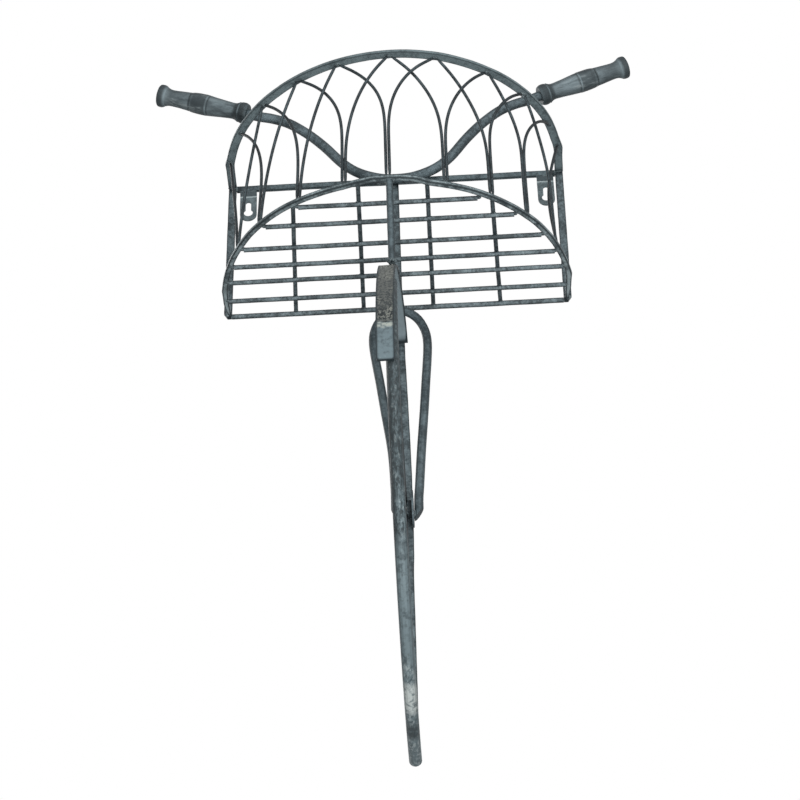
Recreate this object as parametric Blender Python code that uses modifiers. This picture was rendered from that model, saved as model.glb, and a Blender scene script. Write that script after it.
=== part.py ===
# Bicycle planter: a wall-hung iron basket made as the front half of a bicycle.
# Metres, +Z up. The wall is the plane Y = 0 and the planter stands out towards -Y.
# The origin is on the wall, at the middle of the top back bar.

import math

import bmesh
import bpy
from mathutils import Matrix, Vector

# Clearances
WELD_GAP = 0.0003
MERGE_DISTANCE = 0.00003

# Basket
BASKET_HEIGHT = 0.1832
POST_SPACING_HALF = 0.1785
POST_WIDTH = 0.0084
FLAT_BAR_WIDTH = 0.0078
FLAT_BAR_THICKNESS = 0.0032
RIM_BAR_WIDTH = 0.0090
RIM_BAR_THICKNESS = 0.0040
RIM_RADIUS = 0.1815
RIM_CENTRE_FORWARD = 0.0105
RING_RADIUS = 0.1805
RING_CENTRE_FORWARD = 0.0168
RIM_BEND_FORWARD = 0.040
RING_BEND_FORWARD = 0.042
RING_BAR_WIDTH = 0.0058
RING_BAR_HEIGHT = 0.0050
BAR_EDGE_BEVEL = 0.0004
# The welded basket stands a little to one side and leans
BASKET_SHIFT = 0.00085
BASKET_LEAN = 0.00225
# Hand-bent hoops, out of round: shares of a quarter turn from the front, and of the wander
HOOP_WANDER = 0.004
RIM_WANDER_SHARES = (
    (-1.0, -0.30), (-0.94, -0.33), (-0.85, -0.72), (-0.75, -0.68), (-0.60, -0.85), (-0.45, -1.02),
    (-0.30, -0.85), (-0.19, -0.68), (-0.08, -0.52), (0.0, -0.30), (0.08, -0.10), (0.20, 0.02),
    (0.35, 0.05), (0.50, 0.25), (0.62, 0.22), (0.74, 0.12), (0.84, -0.28), (0.94, -0.05), (1.0, 0.0),
)
RING_WANDER_SHARES = (
    (-1.0, 0.0), (-0.59, 0.42), (-0.42, 0.25), (-0.28, -0.22), (-0.17, -0.42), (-0.11, -0.05),
    (-0.06, 0.32), (0.04, 0.25), (0.09, 0.0), (0.14, -0.95), (0.20, -0.95), (0.33, -0.80),
    (0.46, -0.70), (0.58, -0.40), (0.85, -0.22), (1.0, 0.0),
)

# Basket floor
CROSS_BAR_DIAMETER = 0.005
FLOOR_ROD_DIAMETER = 0.0045
BOTTOM_BAR_DIAMETER = 0.0055
CROSS_BAR_SHARES = (0.838, 0.704, 0.539, 0.407, 0.286, 0.140)
ROD_FRONT_SHARES = (-0.545, -0.175, 0.205, 0.560)
ROD_BACK_SHARES = (-0.600, -0.205, 0.200, 0.590)

# Pointed arches of wire round the basket
ARCH_WIRE_DIAMETER = 0.0032
ARCH_WIRE_SAG = 0.0018
# The short wires that end at the rim's two bends
CORNER_WIRE_SAGS = (-0.0022, 0.0070)
ARCH_WIRE_STEPS = 12
ARCH_CROSSING_SHARE = 0.75
ARCH_CROSSING_POWER = 0.8
FOOT_ANGLE_SHARES = (-0.681, -0.528, -0.342, -0.164, -0.004, 0.204, 0.384, 0.551, 0.748)
APEX_ANGLE_SHARES = (-0.885, -0.715, -0.536, -0.351, -0.183, 0.013, 0.182, 0.389, 0.568, 0.759, 0.885)
LEFT_SPRING_SHARES = (0.0, 0.26, 0.14, 0.34, 0.34, 0.27, 0.24, 0.44, 0.32)
RIGHT_SPRING_SHARES = (0.0, 0.0, 0.0, 0.18, 0.34, 0.32, 0.41, 0.43, 0.20)
LEFT_CURVE_POWERS = (1.5, 2.43, 3.08, 2.82, 3.28, 2.87, 2.46, 2.45, 2.72)
RIGHT_CURVE_POWERS = (1.1, 1.69, 1.92, 2.27, 2.82, 2.41, 2.43, 2.83, 2.4)

# Keyhole hanging plates
PLATE_WIDTH = 0.0182
PLATE_LENGTH = 0.0418
PLATE_THICKNESS = 0.0015
LEFT_PLATE_INSET = 0.0181
RIGHT_PLATE_INSET = 0.0148
PLATE_BEND_DROP = 0.0068
PLATE_LEAN = 0.0017
KEYHOLE_DIAMETER = 0.010
KEYHOLE_SLOT_WIDTH = 0.006
KEYHOLE_DROP = 0.0303
KEYHOLE_SLOT_LENGTH = 0.0125

# Handlebar and grips
HANDLEBAR_DIAMETER = 0.011
HANDLEBAR_DIP = 0.0053
HANDLEBAR_REACH = 0.163
HANDLEBAR_RISE = 0.1034
HANDLEBAR_SWEEP = 0.005
HANDLEBAR_TILT = math.radians(0.67)
HANDLEBAR_SHIFT = 0.003
BEND_REACH_SHARES = (0.0, 0.12, 0.255, 0.363, 0.480, 0.592, 0.717, 0.828, 0.925, 1.0)
BEND_RISE_SHARES = (0.0, 0.015, 0.100, 0.243, 0.482, 0.673, 0.833, 0.912, 0.953, 1.0)
HANDLEBAR_STEPS = 5
GRIP_LENGTH = 0.107
GRIP_SLOPE = math.radians(20.8)
GRIP_SOCKET_DEPTH = 0.060
GRIP_BARREL_RADIUS = 0.0119
# Turned outline of a grip from its outer end: shares of the length and of the barrel's radius
GRIP_PROFILE_SHARES = (
    (1.0, 0.0), (1.0, 0.79), (0.993, 1.02), (0.978, 1.075), (0.952, 1.075), (0.935, 1.03),
    (0.910, 0.90), (0.870, 0.79), (0.800, 0.80), (0.645, 0.895), (0.637, 0.86), (0.629, 0.925),
    (0.585, 0.98), (0.530, 1.0), (0.450, 1.0), (0.442, 0.94), (0.434, 0.975), (0.345, 0.90),
    (0.250, 0.82), (0.155, 0.773), (0.115, 0.873), (0.098, 0.962), (0.087, 0.893), (0.075, 0.992),
    (0.030, 0.992), (0.0, 0.853),
)

# Lower back post, a little bowed: shares of its length and of the bow
SPINE_BOW = 0.0034
SPINE_BOW_SHARES = (
    (0.0, 0.15), (0.12, 0.31), (0.27, 0.76), (0.41, 1.0), (0.555, 0.95), (0.635, 0.60), (0.76, 0.56),
    (0.91, 0.47), (1.0, 0.30),
)
SPINE_STEPS = 3

# Strut between the basket and the mudguard
STRUT_DIAMETER = 0.007

# Wheel, mudguard and hub
WHEEL_RADIUS = 0.247
WHEEL_TUBE_DIAMETER = 0.012
WHEEL_CENTRE_FORWARD = 0.022
WHEEL_TOP_ANGLE = math.radians(33)
WHEEL_SKEW = math.radians(0.29)
WHEEL_STEPS = 44
MUDGUARD_WIDTH = 0.017
MUDGUARD_THICKNESS = 0.002
MUDGUARD_LIP_LENGTH = 0.017
MUDGUARD_LIP_ANGLE = math.radians(4)
MUDGUARD_SIDE_OFFSET = 0.0004
MUDGUARD_SKEW = math.radians(1.14)
MUDGUARD_TAIL_DROP = 0.005
CROWN_TO_MUDGUARD = 0.02865
MUDGUARD_STEPS = 30
HUB_RISE = 0.022
HUB_FLANGE_RADIUS = 0.0184
HUB_FLANGE_THICKNESS = 0.0016
HUB_BARREL_RADIUS = 0.009
HUB_BARREL_LENGTH = 0.013
HUB_LEFT_SHORTENING = 0.0037
SPOKE_DIAMETER = 0.005
SPOKE_END_ANGLES = tuple(math.radians(degrees) for degrees in (-63, -30.5, 1, 31))

# Fork
FORK_DIAMETER = 0.0092
FORK_HALF_WIDTH = 0.0283
FORK_FOOT_REACH = 0.004
FORK_FOOT_CUT = math.radians(57)
CROWN_DROP_SHARES = (0.0, 0.013, 0.050, 0.108, 0.172)
LEG_DROP_SHARES = (0.255, 0.350, 0.510, 0.695, 0.860, 0.93, 1.08)
LEFT_CROWN_WIDTH_SHARES = (0.0, 0.38, 0.73, 0.945, 0.975)
LEFT_LEG_WIDTH_SHARES = (0.840, 0.665, 0.400, 0.095, 0.0, 0.0, 0.0)
RIGHT_CROWN_WIDTH_SHARES = (0.0, 0.36, 0.70, 0.93, 1.0)
RIGHT_LEG_WIDTH_SHARES = (0.935, 0.80, 0.58, 0.30, 0.09, 0.0, 0.0)
FORK_STEPS = 3

# Facets
ROUND_SIDES = 16
THIN_SIDES = 12
GRIP_SIDES = 28
TUBE_RESOLUTION = 6
FORK_RESOLUTION = 4
WIRE_RESOLUTION = 2
RING_STEPS = 40
SMOOTH_ANGLE = math.radians(40)
BEVEL_LIMIT_ANGLE = math.radians(60)
MITRE_LIMIT = 0.5

# Places worked out from the sizes above
RING_LEVEL = -BASKET_HEIGHT
CROSS_BAR_LEVEL = RING_LEVEL - (CROSS_BAR_DIAMETER + WELD_GAP) / 2
FLOOR_ROD_LEVEL = CROSS_BAR_LEVEL + (CROSS_BAR_DIAMETER + FLOOR_ROD_DIAMETER) / 2 + WELD_GAP
BASKET_DEPTH = RING_CENTRE_FORWARD + RING_RADIUS
HUB_FORWARD = FLAT_BAR_THICKNESS + WELD_GAP + HUB_FLANGE_RADIUS
GUARD_INNER_RADIUS = WHEEL_RADIUS + WHEEL_TUBE_DIAMETER / 2 + WELD_GAP
GUARD_OUTER_RADIUS = GUARD_INNER_RADIUS + MUDGUARD_THICKNESS
STRUT_TOP = RING_LEVEL - RING_BAR_HEIGHT / 2 - WELD_GAP
STRUT_BACK = BASKET_DEPTH - STRUT_DIAMETER / 2 - WHEEL_CENTRE_FORWARD
STRUT_FOOT_RISE = math.sqrt((GUARD_OUTER_RADIUS + WELD_GAP) ** 2 - STRUT_BACK ** 2)
FORK_CROWN_LEVEL = CROSS_BAR_LEVEL - BOTTOM_BAR_DIAMETER / 2 - WELD_GAP - FORK_DIAMETER / 2
WHEEL_CENTRE_LEVEL = FORK_CROWN_LEVEL - FORK_DIAMETER / 2 - CROWN_TO_MUDGUARD - GUARD_OUTER_RADIUS
STRUT_LENGTH = STRUT_TOP - WHEEL_CENTRE_LEVEL - STRUT_FOOT_RISE
WHEEL_BOTTOM_LEVEL = WHEEL_CENTRE_LEVEL - WHEEL_RADIUS
HUB_LEVEL = WHEEL_CENTRE_LEVEL + HUB_RISE
FORK_FORWARD = FLAT_BAR_THICKNESS + WELD_GAP + FORK_DIAMETER / 2
HANDLEBAR_FORWARD = FLAT_BAR_THICKNESS + WELD_GAP + HANDLEBAR_DIAMETER / 2
FRAME_TOP = FLAT_BAR_THICKNESS / 2
BACK_BAR_BOTTOM = FRAME_TOP - FLAT_BAR_WIDTH
RIM = (RIM_RADIUS, RIM_CENTRE_FORWARD, RIM_WANDER_SHARES)
RING = (RING_RADIUS, RING_CENTRE_FORWARD, RING_WANDER_SHARES)


# Scene helpers
def clear_scene():
    for item in list(bpy.data.objects):
        bpy.data.objects.remove(item, do_unlink=True)


def add_collection(name):
    collection = bpy.data.collections.new(name)
    bpy.context.scene.collection.children.link(collection)
    return collection


def add_paint(name, colour, roughness, metallic):
    material = bpy.data.materials.new(name)
    material.use_nodes = True
    shader = material.node_tree.nodes["Principled BSDF"]
    shader.inputs["Base Color"].default_value = (*colour, 1.0)
    shader.inputs["Roughness"].default_value = roughness
    shader.inputs["Metallic"].default_value = metallic
    return material


def add_object(name, data, paint, matrix=None):
    piece = bpy.data.objects.new(name, data)
    PLANTER.objects.link(piece)
    if not data.materials:
        data.materials.append(paint)
    if matrix is not None:
        piece.matrix_world = matrix
    return piece


# Shape helpers
def frame_from_axis(start, axis):
    turn = Vector((0, 0, 1)).rotation_difference(Vector(axis).normalized())
    return Matrix.Translation(start) @ turn.to_matrix().to_4x4()


def add_rod(name, start, end, diameter, paint, sides=THIN_SIDES):
    start, end = Vector(start), Vector(end)
    mesh = bpy.data.meshes.new(name)
    form = bmesh.new()
    bmesh.ops.create_cone(
        form, cap_ends=True, segments=sides, radius1=diameter / 2, radius2=diameter / 2,
        depth=(end - start).length,
    )
    form.to_mesh(mesh)
    form.free()
    mesh.shade_smooth()
    mesh.set_sharp_from_angle(angle=SMOOTH_ANGLE)
    return add_object(name, mesh, paint, frame_from_axis((start + end) / 2, end - start))


def add_box(name, low, high, paint):
    low, high = Vector(low), Vector(high)
    mesh = bpy.data.meshes.new(name)
    form = bmesh.new()
    bmesh.ops.create_cube(form, size=1.0)
    bmesh.ops.scale(form, vec=high - low, verts=form.verts)
    form.to_mesh(mesh)
    form.free()
    return add_object(name, mesh, paint, Matrix.Translation((low + high) / 2))


def add_tube(name, points, diameter, resolution, paint):
    curve = bpy.data.curves.new(name, "CURVE")
    curve.dimensions = "3D"
    curve.bevel_depth = diameter / 2
    curve.bevel_resolution = resolution
    curve.use_fill_caps = True
    spline = curve.splines.new("POLY")
    spline.points.add(len(points) - 1)
    for target, point in zip(spline.points, points):
        target.co = (*point, 1.0)
    spline.use_smooth = True
    return add_object(name, curve, paint)


def add_flat(name, outlines, thickness, paint, matrix, bevel=0.0):
    curve = bpy.data.curves.new(name, "CURVE")
    curve.dimensions = "2D"
    curve.fill_mode = "BOTH"
    curve.extrude = thickness / 2
    for outline in outlines:
        spline = curve.splines.new("POLY")
        spline.points.add(len(outline) - 1)
        for target, point in zip(spline.points, outline):
            target.co = (point[0], point[1], 0, 1.0)
        spline.use_cyclic_u = True
    piece = add_object(name, curve, paint, matrix)
    if bevel:
        weld = piece.modifiers.new("weld", "WELD")
        weld.merge_threshold = MERGE_DISTANCE
        edge = piece.modifiers.new("edge", "BEVEL")
        edge.width = bevel
        edge.segments = 1
        edge.limit_method = "ANGLE"
        edge.angle_limit = BEVEL_LIMIT_ANGLE
    return piece


def curve_to_mesh(piece, name):
    """Turns a curve object into one closed mesh and removes the curve."""
    bpy.context.view_layer.update()
    depsgraph = bpy.context.evaluated_depsgraph_get()
    mesh = bpy.data.meshes.new_from_object(piece.evaluated_get(depsgraph))
    mesh.name = name
    matrix = piece.matrix_world.copy()
    curve = piece.data
    bpy.data.objects.remove(piece, do_unlink=True)
    bpy.data.curves.remove(curve)
    form = bmesh.new()
    form.from_mesh(mesh)
    bmesh.ops.remove_doubles(form, verts=form.verts, dist=MERGE_DISTANCE)
    form.to_mesh(mesh)
    form.free()
    return mesh, matrix


def smooth_path(points, steps):
    """Points on a Catmull-Rom curve through the given points."""
    points = [Vector(point) for point in points]
    padded = [2 * points[0] - points[1], *points, 2 * points[-1] - points[-2]]
    path = []
    for before, start, end, after in zip(padded, padded[1:], padded[2:], padded[3:]):
        for step in range(steps):
            t = step / steps
            path.append(
                0.5 * (2 * start + (end - before) * t
                       + (2 * before - 5 * start + 4 * end - after) * t * t
                       + (3 * start - before - 3 * end + after) * t ** 3)
            )
    path.append(points[-1])
    return path


def strip_outline(path, thickness):
    """A closed outline of even thickness along a flat path."""
    left, right = [], []
    last = len(path) - 1
    for index, point in enumerate(path):
        ahead = path[min(index + 1, last)] - point
        behind = point - path[max(index - 1, 0)]
        if index == 0:
            behind = ahead
        if index == last:
            ahead = behind
        first = Vector((-behind.y, behind.x)).normalized()
        second = Vector((-ahead.y, ahead.x)).normalized()
        mitre = (first + second).normalized()
        reach = thickness / 2 / max(mitre.dot(first), MITRE_LIMIT)
        left.append(point + mitre * reach)
        right.append(point - mitre * reach)
    return left + right[::-1]


def circle_outline(radius, centre, start, end, steps):
    angles = [start + (end - start) * step / steps for step in range(steps + 1)]
    return [
        (centre[0] + radius * math.cos(angle), centre[1] + radius * math.sin(angle)) for angle in angles
    ]


# Places on the two hoops of the basket, by the angle from straight forward
def value_between(pairs, place):
    """Reads a table of places and values, evenly between its entries."""
    for (before, low), (after, high) in zip(pairs, pairs[1:]):
        if place <= after:
            return low + (high - low) * (place - before) / (after - before)
    return pairs[-1][1]


def hoop_point(hoop, angle):
    radius, centre_forward, wander = hoop
    radius += HOOP_WANDER * value_between(wander, angle / (math.pi / 2))
    return Vector((radius * math.sin(angle), -centre_forward - radius * math.cos(angle)))


def post_side(hand, level):
    """How far to the side the middle of a corner post is at a level."""
    return hand * POST_SPACING_HALF + BASKET_SHIFT + BASKET_LEAN * level / BASKET_HEIGHT


def clear_between_posts(low, high):
    """Both ends of a back bar that fits between the posts, from one level to another."""
    margin = POST_WIDTH / 2 + WELD_GAP
    left = max(post_side(-1, low), post_side(-1, high)) + margin
    right = min(post_side(1, low), post_side(1, high)) - margin
    return left, right


def hoop_path(hoop, bend_forward, level):
    """Half round in front, and a short leg from each bend to the corner post."""
    bend = math.pi / 2 + math.asin((hoop[1] - bend_forward) / hoop[0])
    angles = [bend * (2 * step / RING_STEPS - 1) for step in range(RING_STEPS + 1)]
    path = [hoop_point(hoop, angle) for angle in angles]
    end_forward = FLAT_BAR_THICKNESS + WELD_GAP
    left_end = Vector((post_side(-1, level), -end_forward))
    right_end = Vector((post_side(1, level), -end_forward))
    return [left_end, *path, right_end]


def ring_inner_line():
    """The line just inside the lower ring, which the bars and rods of the floor reach."""
    path = hoop_path(RING, RING_BEND_FORWARD, RING_LEVEL)
    return strip_outline(path, RING_BAR_WIDTH + 2 * WELD_GAP)[:len(path)]


def line_crossings(line, axis, value):
    """Where a flat line crosses a value of one of its two axes."""
    found = []
    for start, end in zip(line, line[1:]):
        before, after = start[axis] - value, end[axis] - value
        if before * after < 0:
            found.append(start.lerp(end, before / (before - after)))
    return found


# Basket
def build_basket():
    rim = hoop_path(RIM, RIM_BEND_FORWARD, 0)
    add_flat(
        "rim_band", [strip_outline(rim, RIM_BAR_WIDTH)], RIM_BAR_THICKNESS, BAND_PAINT,
        Matrix.Identity(4), BAR_EDGE_BEVEL,
    )
    ring = hoop_path(RING, RING_BEND_FORWARD, RING_LEVEL)
    add_flat(
        "lower_ring", [strip_outline(ring, RING_BAR_WIDTH)], RING_BAR_HEIGHT, BAND_PAINT,
        Matrix.Translation((0, 0, RING_LEVEL)), BAR_EDGE_BEVEL,
    )
    left, right = clear_between_posts(BACK_BAR_BOTTOM, FRAME_TOP)
    add_box(
        "top_back_bar", (left, -FLAT_BAR_THICKNESS, BACK_BAR_BOTTOM), (right, 0, FRAME_TOP), BAND_PAINT,
    )
    post_foot = CROSS_BAR_LEVEL - BOTTOM_BAR_DIAMETER / 2
    for name, hand in (("corner_post_left", -1), ("corner_post_right", 1)):
        path = [Vector((post_side(hand, level), level)) for level in (post_foot, FRAME_TOP)]
        add_wall_strip(name, path, POST_WIDTH)


def build_floor():
    bar_radius = BOTTOM_BAR_DIAMETER / 2
    left, right = clear_between_posts(CROSS_BAR_LEVEL - bar_radius, CROSS_BAR_LEVEL + bar_radius)
    add_rod(
        "bottom_back_bar", (left, -bar_radius, CROSS_BAR_LEVEL), (right, -bar_radius, CROSS_BAR_LEVEL),
        BOTTOM_BAR_DIAMETER, WIRE_PAINT,
    )
    inner_line = ring_inner_line()
    for index, share in enumerate(CROSS_BAR_SHARES, 1):
        forward = BASKET_DEPTH * share
        edges = (forward - CROSS_BAR_DIAMETER / 2, forward + CROSS_BAR_DIAMETER / 2)
        sides = [place.x for edge in edges for place in line_crossings(inner_line, 1, -edge)]
        left = max(side for side in sides if side < 0)
        right = min(side for side in sides if side > 0)
        add_rod(
            f"cross_bar_{index}", (left, -forward, CROSS_BAR_LEVEL), (right, -forward, CROSS_BAR_LEVEL),
            CROSS_BAR_DIAMETER, WIRE_PAINT,
        )
    for index, (front_share, back_share) in enumerate(zip(ROD_FRONT_SHARES, ROD_BACK_SHARES), 1):
        side = RING_RADIUS * front_share
        edges = (side - FLOOR_ROD_DIAMETER / 2, side + FLOOR_ROD_DIAMETER / 2)
        reach = min(-place.y for edge in edges for place in line_crossings(inner_line, 0, edge))
        add_rod(
            f"floor_rod_{index}", (side, -reach, FLOOR_ROD_LEVEL),
            (RING_RADIUS * back_share, -FLOOR_ROD_DIAMETER / 2, FLOOR_ROD_LEVEL),
            FLOOR_ROD_DIAMETER, WIRE_PAINT,
        )


def arch_wire_path(foot_angle, apex_angle, spring_share, curve_power, middle_sag):
    """Up from the ring, then over in half an arch to its tip under the rim."""
    low = RING_LEVEL + RING_BAR_HEIGHT / 2 + WELD_GAP
    high = -RIM_BAR_THICKNESS / 2 - WELD_GAP
    lean = 1 if apex_angle > foot_angle else -1
    side_step = (ARCH_WIRE_DIAMETER + WELD_GAP) / 2
    path = []
    for step in range(ARCH_WIRE_STEPS + 1):
        rise = step / ARCH_WIRE_STEPS
        sweep = max(0.0, (rise - spring_share) / (1 - spring_share)) ** curve_power
        angle = foot_angle + (apex_angle - foot_angle) * sweep
        ring = hoop_point(RING, angle)
        rim = hoop_point(RIM, angle)
        outward = Vector((math.sin(angle), -math.cos(angle)))
        along = Vector((math.cos(angle), math.sin(angle)))
        # Side by side at the foot and at the tip, and one behind the other where two wires cross
        aside = lean * side_step * (1 - 2 * sweep)
        crossing = math.sin(math.pi * sweep ** ARCH_CROSSING_POWER)
        apart = lean * ARCH_CROSSING_SHARE * 2 * side_step * crossing
        sag = middle_sag * math.sin(math.pi * rise)
        place = ring.lerp(rim, rise) + outward * (apart - sag) + along * aside
        path.append(Vector((place.x, place.y, low + (high - low) * rise)))
    for end, inner, way in ((0, 1, 1), (-1, -2, -1)):
        slope = (path[inner] - path[end]).normalized()
        # The cap of a leaning wire is slanting, so its end is moved clear of the bar
        path[end].z += way * ARCH_WIRE_DIAMETER / 2 * math.hypot(slope.x, slope.y)
    return path


def build_arches():
    quarter = math.pi / 2
    sags = {0: CORNER_WIRE_SAGS[0], len(APEX_ANGLE_SHARES) - 1: CORNER_WIRE_SAGS[1]}
    number = 0
    for index, foot_share in enumerate(FOOT_ANGLE_SHARES):
        leans = (
            (index, LEFT_SPRING_SHARES[index], LEFT_CURVE_POWERS[index]),
            (index + 2, RIGHT_SPRING_SHARES[index], RIGHT_CURVE_POWERS[index]),
        )
        for tip, spring_share, curve_power in leans:
            number += 1
            path = arch_wire_path(
                foot_share * quarter, APEX_ANGLE_SHARES[tip] * quarter, spring_share, curve_power,
                sags.get(tip, ARCH_WIRE_SAG),
            )
            add_tube(f"arch_wire_{number:02d}", path, ARCH_WIRE_DIAMETER, WIRE_RESOLUTION, WIRE_PAINT)


def build_keyhole_plates():
    half = PLATE_WIDTH / 2
    top = BACK_BAR_BOTTOM - WELD_GAP
    round_centre = (0, top - PLATE_LENGTH + half)
    body = [(half, top), (-half, top)]
    body += circle_outline(half, round_centre, math.pi, 2 * math.pi, ROUND_SIDES)
    hole_centre = (0, top - KEYHOLE_DROP)
    slot_half = KEYHOLE_SLOT_WIDTH / 2
    lean = math.acos(slot_half / (KEYHOLE_DIAMETER / 2))
    hole = circle_outline(
        KEYHOLE_DIAMETER / 2, hole_centre, math.pi - lean, 2 * math.pi + lean, ROUND_SIDES,
    )
    slot_centre = (0, hole_centre[1] + KEYHOLE_SLOT_LENGTH)
    hole += circle_outline(slot_half, slot_centre, 0, math.pi, ROUND_SIDES // 2)
    for name, place in (
        ("keyhole_plate_left", LEFT_PLATE_INSET - POST_SPACING_HALF),
        ("keyhole_plate_right", POST_SPACING_HALF - RIGHT_PLATE_INSET),
    ):
        matrix = Matrix.Translation((place, -PLATE_THICKNESS / 2, 0)) @ Matrix.Rotation(
            math.pi / 2, 4, "X"
        )
        flat = add_flat(name + "_flat", [body, hole], PLATE_THICKNESS, BAND_PAINT, matrix)
        bend_plate(flat, name, top - PLATE_BEND_DROP)


def bend_plate(flat, name, bend_level):
    """Turns the flat outline into a mesh and leans its top forward under the top bar's front."""
    mesh, matrix = curve_to_mesh(flat, name)
    lean = PLATE_LEAN / PLATE_BEND_DROP
    form = bmesh.new()
    form.from_mesh(mesh)
    bmesh.ops.bisect_plane(
        form, geom=form.verts[:] + form.edges[:] + form.faces[:], plane_co=(0, bend_level, 0),
        plane_no=(0, 1, 0), dist=MERGE_DISTANCE,
    )
    for vertex in form.verts:
        vertex.co.z += max(0.0, vertex.co.y - bend_level) * lean
    form.to_mesh(mesh)
    form.free()
    add_object(name, mesh, BAND_PAINT, matrix)


# Handlebar and grips
def handlebar_points(side):
    """The bend from the middle of the bar out to the start of a grip."""
    return [
        Vector((
            side * HANDLEBAR_REACH * reach,
            -HANDLEBAR_FORWARD - HANDLEBAR_SWEEP * reach,
            -HANDLEBAR_DIP + (HANDLEBAR_RISE + HANDLEBAR_DIP) * rise,
        ))
        for reach, rise in zip(BEND_REACH_SHARES, BEND_RISE_SHARES)
    ]


def handlebar_place():
    """The whole handlebar is welded on a little askew."""
    return Matrix.Translation((HANDLEBAR_SHIFT, 0, 0)) @ Matrix.Rotation(-HANDLEBAR_TILT, 4, "Y")


def grip_axis(side):
    return Vector((side * math.cos(GRIP_SLOPE), 0, math.sin(GRIP_SLOPE)))


def build_handlebar():
    right = handlebar_points(1)
    left = handlebar_points(-1)
    points = left[:0:-1] + right
    path = smooth_path(points, HANDLEBAR_STEPS)
    tip = GRIP_SOCKET_DEPTH - WELD_GAP
    path = [left[-1] + grip_axis(-1) * tip, *path, right[-1] + grip_axis(1) * tip]
    bar = add_tube("handlebar", path, HANDLEBAR_DIAMETER, TUBE_RESOLUTION, TUBE_PAINT)
    bar.matrix_world = handlebar_place()


def grip_profile():
    """Half the turned section, from the outer end down to the socket at the inner end."""
    socket = HANDLEBAR_DIAMETER / 2 + WELD_GAP
    profile = [(GRIP_BARREL_RADIUS * radius, GRIP_LENGTH * along) for along, radius in GRIP_PROFILE_SHARES]
    return profile + [(socket, 0.0), (socket, GRIP_SOCKET_DEPTH), (0.0, GRIP_SOCKET_DEPTH)]


def build_grips():
    profile = grip_profile()
    for name, side in (("grip_left", -1), ("grip_right", 1)):
        mesh = bpy.data.meshes.new(name)
        edges = [(index, index + 1) for index in range(len(profile) - 1)]
        mesh.from_pydata([(radius, 0, height) for radius, height in profile], edges, [])
        matrix = handlebar_place() @ frame_from_axis(handlebar_points(side)[-1], grip_axis(side))
        piece = add_object(name, mesh, GRIP_PAINT, matrix)
        screw = piece.modifiers.new("turn", "SCREW")
        screw.axis = "Z"
        screw.steps = GRIP_SIDES
        screw.render_steps = GRIP_SIDES
        screw.use_merge_vertices = True
        screw.merge_threshold = MERGE_DISTANCE
        screw.use_smooth_shade = True


# Posts
def add_wall_strip(name, path, width):
    """A flat bar that lies on the wall along a path of places to the side and up."""
    upright = Matrix.Rotation(math.pi / 2, 4, "X")
    matrix = Matrix.Translation((0, -FLAT_BAR_THICKNESS / 2, 0)) @ upright
    add_flat(name, [strip_outline(path, width)], FLAT_BAR_THICKNESS, BAND_PAINT, matrix)


def build_posts():
    half = FLAT_BAR_WIDTH / 2
    bottom_bar_half = BOTTOM_BAR_DIAMETER / 2 + WELD_GAP
    add_box(
        "spine_upper", (-half, -FLAT_BAR_THICKNESS, CROSS_BAR_LEVEL + bottom_bar_half),
        (half, 0, BACK_BAR_BOTTOM - WELD_GAP), BAND_PAINT,
    )
    wheel_end_top = WHEEL_BOTTOM_LEVEL + WHEEL_TUBE_DIAMETER / 2 + WELD_GAP
    top = CROSS_BAR_LEVEL - bottom_bar_half
    path = smooth_path(
        [(SPINE_BOW * bow, top + (wheel_end_top - top) * along) for along, bow in SPINE_BOW_SHARES],
        SPINE_STEPS,
    )
    add_wall_strip("spine_lower", path, FLAT_BAR_WIDTH)
    add_rod(
        "front_strut", (0, -BASKET_DEPTH, STRUT_TOP - STRUT_LENGTH), (0, -BASKET_DEPTH, STRUT_TOP),
        STRUT_DIAMETER, TUBE_PAINT, ROUND_SIDES,
    )


# Wheel
def wheel_point(radius, angle):
    """A place in the wheel's plane, by its angle above straight forward."""
    forward = WHEEL_CENTRE_FORWARD + radius * math.cos(angle)
    return Vector((0, -forward, WHEEL_CENTRE_LEVEL + radius * math.sin(angle)))


def wheel_place():
    """The wheel leans a little to one side about the hub."""
    hub = Matrix.Translation((0, 0, HUB_LEVEL))
    return hub @ Matrix.Rotation(-WHEEL_SKEW, 4, "Y") @ hub.inverted()


def build_wheel():
    turn = -math.pi / 2 - WHEEL_TOP_ANGLE
    angles = [WHEEL_TOP_ANGLE + turn * step / WHEEL_STEPS for step in range(WHEEL_STEPS + 1)]
    path = [wheel_point(WHEEL_RADIUS, angle) for angle in angles]
    path.append(Vector((0, 0, WHEEL_BOTTOM_LEVEL)))
    tube = add_tube("wheel_rim", path, WHEEL_TUBE_DIAMETER, TUBE_RESOLUTION, WHEEL_PAINT)
    tube.matrix_world = wheel_place()


def build_mudguard():
    radius = (GUARD_INNER_RADIUS + GUARD_OUTER_RADIUS) / 2
    turn = math.pi / 2 - MUDGUARD_LIP_ANGLE
    path = []
    for step in range(MUDGUARD_STEPS + 1):
        angle = MUDGUARD_LIP_ANGLE + turn * step / MUDGUARD_STEPS
        place = wheel_point(radius, angle)
        path.append(Vector((-place.y, place.z)))
    lip_turn = Vector((math.sin(MUDGUARD_LIP_ANGLE), -math.cos(MUDGUARD_LIP_ANGLE)))
    path.insert(0, path[0] + lip_turn * MUDGUARD_LIP_LENGTH)
    path.append(Vector((FLAT_BAR_THICKNESS + WELD_GAP, path[-1].y - MUDGUARD_TAIL_DROP)))
    axes = Matrix(((0, 0, -1), (-1, 0, 0), (0, 1, 0))).to_4x4()
    skew = Matrix.Rotation(-MUDGUARD_SKEW, 4, "Z")
    add_flat(
        "mudguard", [strip_outline(path, MUDGUARD_THICKNESS)], MUDGUARD_WIDTH, GUARD_PAINT,
        Matrix.Translation((-MUDGUARD_SIDE_OFFSET, 0, 0)) @ skew @ axes,
    )


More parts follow.
